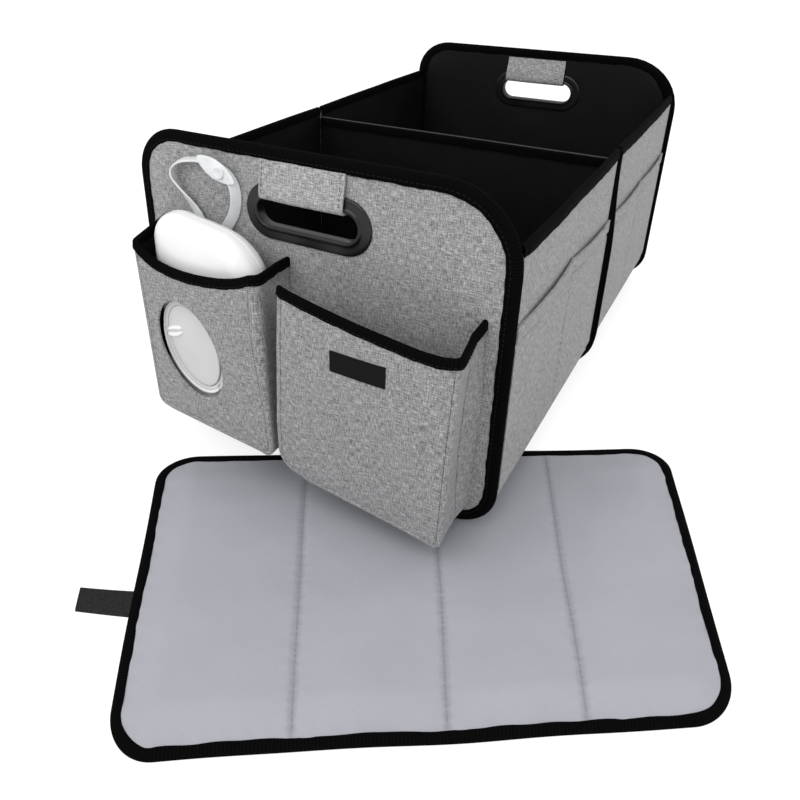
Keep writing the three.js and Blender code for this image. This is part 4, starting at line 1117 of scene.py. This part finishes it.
def case_lid():
    """Tilted oval lid, its frame and seat on the case, and a two-ridged thumb tab."""
    outline = ellipse(LID_WIDTH, LID_HEIGHT, LID_CENTRE, LID_TILT)
    plate = Builder().turned(outline, LID_CENTRE, (
        (0.0, -342.7), (0.98, -342.7), (1.0, -343.1), (1.0, -344.5), (0.99, -344.75), (0.97, -344.85),
        (0.90, -344.9), (0.6, -344.95), (0.3, -344.98), (0.0, -345.0)))
    plate.dress("case_lid_plate", SHADED_LID_PLASTIC, "case_lid", "case_lid", 50)

    # The frame leaves room for the lid's hinge, and is sunk beside it
    heading = unit(outline - LID_CENTRE)
    wide = 0.8 + 4.4 * np.maximum(0, heading[:, 0] * -0.45 + heading[:, 1] * -0.89)
    hinge_room = 2.0 * np.maximum(0, heading[:, 0]) ** 2
    frame_section = ((0.25 + hinge_room, -342.5), (0.3 + hinge_room, -344.6), (0.6 + hinge_room, -344.8),
                     (4.2, -344.8), (4.35, -344.6), (4.45, -342.4))
    seat_section = [(4.3, -342.5), *((4.4 + wide * share, y) for share, y in (
        (0.0, -344.6), (0.3, -345.2), (0.7, -345.2), (1.0, -344.4), (1.1, -342.4)))]
    for name, section, material in (("case_lid_frame", frame_section, SHADED_LID_PLASTIC),
                                    ("case_lid_seat", seat_section, WHITE_PLASTIC)):
        rows = []
        for reach, y in section:
            points = outline + heading * np.broadcast_to(reach, len(outline))[:, None]
            if y < LID_FACE_Y:
                y = (y - LID_FACE_Y) * (1 - smoothstep(*HINGE_X, points[:, 0])) + LID_FACE_Y
            rows.append(upright(points, y))
        Builder().grid(rows, wrap_columns=True).dress(name, material, "wipes_case", smooth_angle=50)

    # Thumb tab
    tab_x, tab_z = -108.0, 141.0
    builder = Builder()
    for ridge in (-1, 1):
        rows = []
        for part in np.linspace(-1, 1, 17):
            size = sqrt(max(0.0, 1 - part ** 4)) + 0.02
            z = tab_z + ridge * (3.6 - 1.6 * part ** 2) + 2.7 * part
            rows.append([(tab_x + 9 * part, -344.7 - 2.2 * size * max(0.0, sin(a)),
                          z + 2.3 * size * cos(a)) for a in np.linspace(0, pi, 9)])
        builder.grid(rows)
    builder.dress("case_thumb_tab", WHITE_PLASTIC, "case_lid", smooth_angle=60)


def case_strap():
    """Soft band from the case's back up round a loop, twisting as it goes."""
    line = catmull([(-103, -297.2, 206), (-106, -297.2, 222), (-111, -297.2, 234), (-118, -297.6, 243),
                    (-127, -299.2, 254), (-134, -300.0, 265), (-132.5, -300.2, 274.5), (-123, -300.0, 281.3),
                    (-110, -299.4, 284), (-98, -298.8, 284.5), (-84, -298.4, 281), (-73, -298.4, 274),
                    (-68, -298.2, 264), (-68, -297.8, 253), (-72, -297.4, 241), (-80, -297.2, 229),
                    (-90, -297.2, 216), (-95, -297.2, 206)], 150)
    turns = np.interp(np.linspace(0, 1, 150), [0, 0.13, 0.22, 0.32, 0.48, 0.6, 0.75, 0.88, 1.0],
                      np.radians([86, 82, 56, 18, 6, 14, 36, 66, 86]))[:, None]
    back = np.array([0.0, 1.0, 0.0])
    in_plane = np.cross(unit(np.gradient(line, axis=0)), back)
    section = mirrored([(-4.7, -0.3), (-4.5, -0.7), (-3.6, -0.9), (3.6, -0.9), (4.5, -0.7), (4.7, -0.3)])
    band = sweep_line(line, section, back * np.cos(turns) + in_plane * np.sin(turns))
    band.dress("case_strap_band", SILICONE, "wipes_case", "case_strap", 50)


def strap_plate():
    """Leaf-shaped plate with its round press stud."""
    centre = np.array([-84.0, 279.5])
    turn = radians(-24)
    angles = np.linspace(0, 2 * pi, 96, endpoint=False)
    x, z = 21 * np.cos(angles), 8.2 * np.sin(angles) * (1 - 0.3 * np.cos(angles) ** 2)
    leaf = centre + np.stack([x * cos(turn) - z * sin(turn),
                              x * sin(turn) + z * cos(turn)], axis=1)
    builder = Builder()
    builder.turned(leaf, centre, ((0.0, -300.4), (0.95, -300.4), (1.0, -301.0), (1.0, -302.4),
                                  (0.95, -303.0), (0.86, -303.1), (0.35, -303.2), (0.0, -303.2)))
    stud = centre + np.array([4.0, -1.3])
    builder.turned(ellipse(2, 2, stud, 0, 40), stud, ((5.9, -302.9), (5.9, -304.2), (5.3, -304.8),
                                                      (3.6, -304.7), (3.1, -304.2), (0.0, -304.2)))
    builder.dress("case_strap_plate", SILICONE, "wipes_case", "case_strap_snap", 50)


case_shell("case_rear_shell", 1, 24.0, 19.4, "case_base")
case_shell("case_front_shell", -1, 16.0, 16.0, "case_cover")
case_lid()
case_strap()
strap_plate()


# Mat

MAT_NEAR, MAT_FAR, MAT_LEFT, MAT_RIGHT, MAT_SKEW = 406.0, 491.0, 291.0, 276.0, 28.0
MAT_X, MAT_Y, MAT_TURN = 143.8, -355.7, radians(33.4)
MAT_WIDTH, MAT_DEPTH = (MAT_NEAR + MAT_FAR) / 2, (MAT_LEFT + MAT_RIGHT) / 2
MAT_CORNER = 34.0
MAT_LEAF = 7.4
STAND_HALF_X = 182.0
STAND_FRONT_Y = -297.0
MAT_FLAT = 2.3
MAT_RISE = 5.4
PAD_INSET = 1.2
TAB_LENGTH = 46.0
TAB_HALF = 11.2


def mat_place(x, y, z):
    """Mat coordinates to where it lies; its four sides differ a little in length."""
    x, y, z = np.broadcast_arrays(np.asarray(x, float), np.asarray(y, float), np.asarray(z, float))
    across, along = x / MAT_WIDTH + 0.5, y / MAT_DEPTH + 0.5
    width = MAT_NEAR + (MAT_FAR - MAT_NEAR) * along
    depth = MAT_LEFT + (MAT_RIGHT - MAT_LEFT) * across
    px = x * width / MAT_WIDTH + MAT_SKEW * (along - 0.5) + 0.8 * ripple(x, y, 141, 170)
    py = y * depth / MAT_DEPTH + 0.9 * ripple(x, y, 142, 170)
    return np.stack([MAT_X + px * cos(MAT_TURN) - py * sin(MAT_TURN),
                     MAT_Y + px * sin(MAT_TURN) + py * cos(MAT_TURN), z], axis=-1)


def mat_limit(points):
    """Highest the mat may reach, which is low where the organizer stands on it."""
    out_x = np.maximum(0, np.abs(points[..., 0]) - STAND_HALF_X)
    out_y = np.maximum(0, STAND_FRONT_Y - points[..., 1])
    distance = np.hypot(out_x, out_y)
    return MAT_FLAT + MAT_RISE * smoothstep(4, 95, distance) + 60 * smoothstep(90, 120, distance)


def mat_freedom(points):
    """Share of its soft height that the padding keeps: none under the organizer, all away from it."""
    return np.clip((mat_limit(points) - MAT_FLAT) / MAT_RISE, 0, 1)


def fold_line(k, y):
    """Where a sewn fold line runs, a little unevenly."""
    return MAT_FOLDS[k] + 0.5 * np.sin(y / 31 + k * 2)


def mat_height(x, y):
    """Soft height of the padding: full in the panels, drawn down along folds and rim."""
    corner_x = np.maximum(0, np.abs(x) - (MAT_WIDTH / 2 - MAT_CORNER))
    corner_y = np.maximum(0, np.abs(y) - (MAT_DEPTH / 2 - MAT_CORNER))
    edge_x, edge_y = MAT_WIDTH / 2 - np.abs(x), MAT_DEPTH / 2 - np.abs(y)
    in_corner = (corner_x > 0) & (corner_y > 0)
    edge = np.where(in_corner, MAT_CORNER - np.hypot(corner_x, corner_y), np.minimum(edge_x, edge_y)) - 6
    rim = smoothstep(-2, 30, edge)
    height = 2.6 + 4.4 * rim
    for k, fold in enumerate(MAT_FOLDS):
        gap = np.abs(x - fold_line(k, y))
        dip = np.exp(-(gap / 3.6) ** 2)
        broad = np.exp(-(gap / 20.0) ** 2)
        pucker = np.sin(y / 1.9 + 3 * np.sin(y / 17 + k) + np.sign(x - fold) * 0.6)
        reach = np.exp(-(gap / 8.0) ** 2) * (1 - np.exp(-(gap / 2.2) ** 2))
        height = height - (1.5 * dip + 1.1 * broad) * rim + 0.2 * pucker * reach
    pucker = np.sin(np.where(edge_x < edge_y, y, x) / 2.7 + 2 * np.sin((x + y) / 40))
    height = height + 0.22 * pucker * np.exp(-((edge - 3) / 8.0) ** 2)
    return height + 0.4 * ripple(x, y, 151, 90) * rim + 0.12 * ripple(x, y, 152, 30) * rim


def mat_padding():
    half_y = MAT_DEPTH / 2 - PAD_INSET
    grid = []
    for y in np.linspace(-half_y, half_y, 170):
        over = max(0.0, abs(y) - (MAT_DEPTH / 2 - MAT_CORNER))
        half = MAT_WIDTH / 2 - PAD_INSET - (MAT_CORNER - sqrt(max(0.0, MAT_CORNER ** 2 - over ** 2)))
        grid.append([(x, y) for x in np.linspace(-half, half, 300)])
    grid = np.array(grid)
    x, y = grid[..., 0], grid[..., 1]
    top = mat_place(x, y, mat_height(x, y))
    top[..., 2] = MAT_FLAT + (top[..., 2] - MAT_FLAT) * mat_freedom(top)
    builder = Builder().sheet([top, mat_place(x, y, 0.5)], grid)
    pad = builder.dress("mat_padding", MAT_CLOTH, "mat", "mat_pad", 60)


def mat_binding():
    """Binding of the mat, soft and slightly wavy."""
    half = np.array([MAT_WIDTH, MAT_DEPTH]) / 2
    outline = resample(rounded_box(-half, half, (MAT_CORNER,) * 4, 30), 460, closed=True)
    rows = []
    for k, (point, normal) in enumerate(zip(outline, outline_normals(outline))):
        along = k / len(outline) * 2 * pi
        leaf = MAT_LEAF + 0.3 * sin(17 * along) + 0.25 * sin(41 * along + 1)
        lift = 0.3 * sin(13 * along + 2) + 0.2 * sin(37 * along)
        shape = [(-leaf, 2.2 + lift), (-leaf, 3.0 + lift), (-leaf + 1.2, 3.7 + lift), (-4, 3.9 + lift),
                 (-1.2, 3.4 + lift * 0.6), (0.6, 2.5), (0.9, 1.5), (0.4, 0.5), (-1.2, 0.05), (-leaf, 0.05),
                 (-leaf, 0.45)]
        out, z = np.array(shape).T
        row = mat_place(point[0] + normal[0] * out, point[1] + normal[1] * out, z)
        row[:, 2] = np.minimum(row[:, 2], mat_limit(row) + 0.25)
        rows.append(row)
    builder = Builder().grid(rows, wrap_rows=True, wrap_columns=True)
    builder.dress("mat_edge_tape", BLACK_TAPE, "mat", "mat_binding", 50)


def mat_stitches():
    ys = np.linspace(-MAT_DEPTH / 2 + 11, MAT_DEPTH / 2 - 11, 220)
    for k in range(len(MAT_FOLDS)):
        xs = fold_line(k, ys)
        line = mat_place(xs, ys, mat_height(xs, ys))
        line[:, 2] = MAT_FLAT + 0.15 + (line[:, 2] - MAT_FLAT) * mat_freedom(line)
        stitches(f"mat_fold_stitches_{k + 1}", line, (0, 0, 1), "mat", MAT_THREAD, length=3.0, gap=1.6,
                 width=0.4, proud=0.1)


def mat_tab():
    """Closing tab, lying on the ground beside the mat."""
    rows = []
    for part in np.linspace(0, 1, 24):
        x = -MAT_WIDTH / 2 + 3 - TAB_LENGTH * part
        y = -MAT_DEPTH / 2 + 117 + 7 * part
        half = TAB_HALF * (1 - 0.06 * part)
        lift = 0.5 * (1 - part) ** 2
        shape = [(-half, 0.1), (-half, 1.5 + lift), (-half + 1.5, 2.1 + lift), (half - 1.5, 2.1 + lift),
                 (half, 1.5 + lift), (half, 0.1)]
        rows.append([mat_place(x, y + s, z) for s, z in shape])
    Builder().tube(rows).dress("mat_hook_tab", HOOK_TAPE, "mat", "mat_tab")


mat_padding()
mat_binding()
mat_stitches()
mat_tab()


# Floor, light and camera

GROUND_GLOW = 0.72
GROUND_SHADOW = 0.42
WORLD_LIGHT = 0.72
FRAME_PIXELS = 800
FOCAL_PIXELS = 741.656
SENSOR = 36.0
CAMERA_PLACE = (0.312448, -0.756255, 0.463959)
CAMERA_DOWN = 0.475
CAMERA_TURN = 0.539


def stage():
    """Pale ground that glows for the camera and still takes the object's shadow."""
    bpy.ops.mesh.primitive_circle_add(vertices=96, radius=14, fill_type="NGON", location=(0, 0, 0))
    ground = bpy.context.object
    ground.name = "ground"
    s = Shader("pale_ground", Base_Color=(0.80, 0.80, 0.80, 1), Roughness=0.9, Specular_IOR_Level=0.1)
    glow = s.node("ShaderNodeEmission", {0: (1, 1, 1, 1), 1: GROUND_GLOW})
    seen = s.node("ShaderNodeBsdfDiffuse", {0: (GROUND_SHADOW,) * 3 + (1,)})
    bright = s.node("ShaderNodeAddShader", {0: seen.outputs[0], 1: glow.outputs[0]})
    path = s.node("ShaderNodeLightPath")
    mix = s.node("ShaderNodeMixShader", {
        0: path.outputs["Is Camera Ray"], 1: s.principled.outputs[0], 2: bright.outputs[0]})
    s.link(mix.outputs[0], s.output.inputs[0])
    ground.data.materials.append(s.material)


def world():
    """White to the camera and through clear pieces, dimmer as light."""
    studio = bpy.data.worlds.new("studio")
    studio.use_nodes = True
    s = Nodes(studio.node_tree)
    path = s.node("ShaderNodeLightPath")
    seen = s.math("MAXIMUM", path.outputs["Is Camera Ray"], path.outputs["Is Transmission Ray"])
    strength = s.node("ShaderNodeMapRange", {"Value": seen, "To Min": WORLD_LIGHT, "To Max": 1.0})
    background = s.tree.nodes["Background"]
    background.inputs[0].default_value = (1, 1, 1, 1)
    s.link(strength.outputs[0], background.inputs[1])
    bpy.context.scene.world = studio


def lamp(name, location, target, size, power):
    data = bpy.data.lights.new(name, "AREA")
    data.shape = "DISK"
    data.size = size
    data.energy = power
    obj = bpy.data.objects.new(name, data)
    bpy.context.scene.collection.objects.link(obj)
    obj.location = location
    direction = Vector(target) - Vector(location)
    obj.rotation_euler = direction.to_track_quat("-Z", "Y").to_euler()


def view():
    """Camera at the photograph's viewing angle."""
    data = bpy.data.cameras.new("camera")
    data.sensor_width = SENSOR
    data.lens = FOCAL_PIXELS / FRAME_PIXELS * SENSOR
    data.shift_x = 0.06875
    data.shift_y = -0.125
    data.clip_end = 50
    camera = bpy.data.objects.new("camera", data)
    bpy.context.scene.collection.objects.link(camera)
    camera.location = CAMERA_PLACE
    camera.rotation_euler = (pi / 2 - CAMERA_DOWN, 0, CAMERA_TURN)
    bpy.context.scene.camera = camera


stage()
world()
lamp("key", (-0.3, -2.4, 2.4), (0, -0.2, 0.1), 3.4, 58)
lamp("fill", (2.6, -1.0, 1.6), (0, -0.1, 0.1), 2.6, 15)
lamp("top", (0.0, 0.4, 2.8), (0, 0, 0), 3.4, 18)
view()
bpy.context.scene.view_settings.view_transform = "Standard"
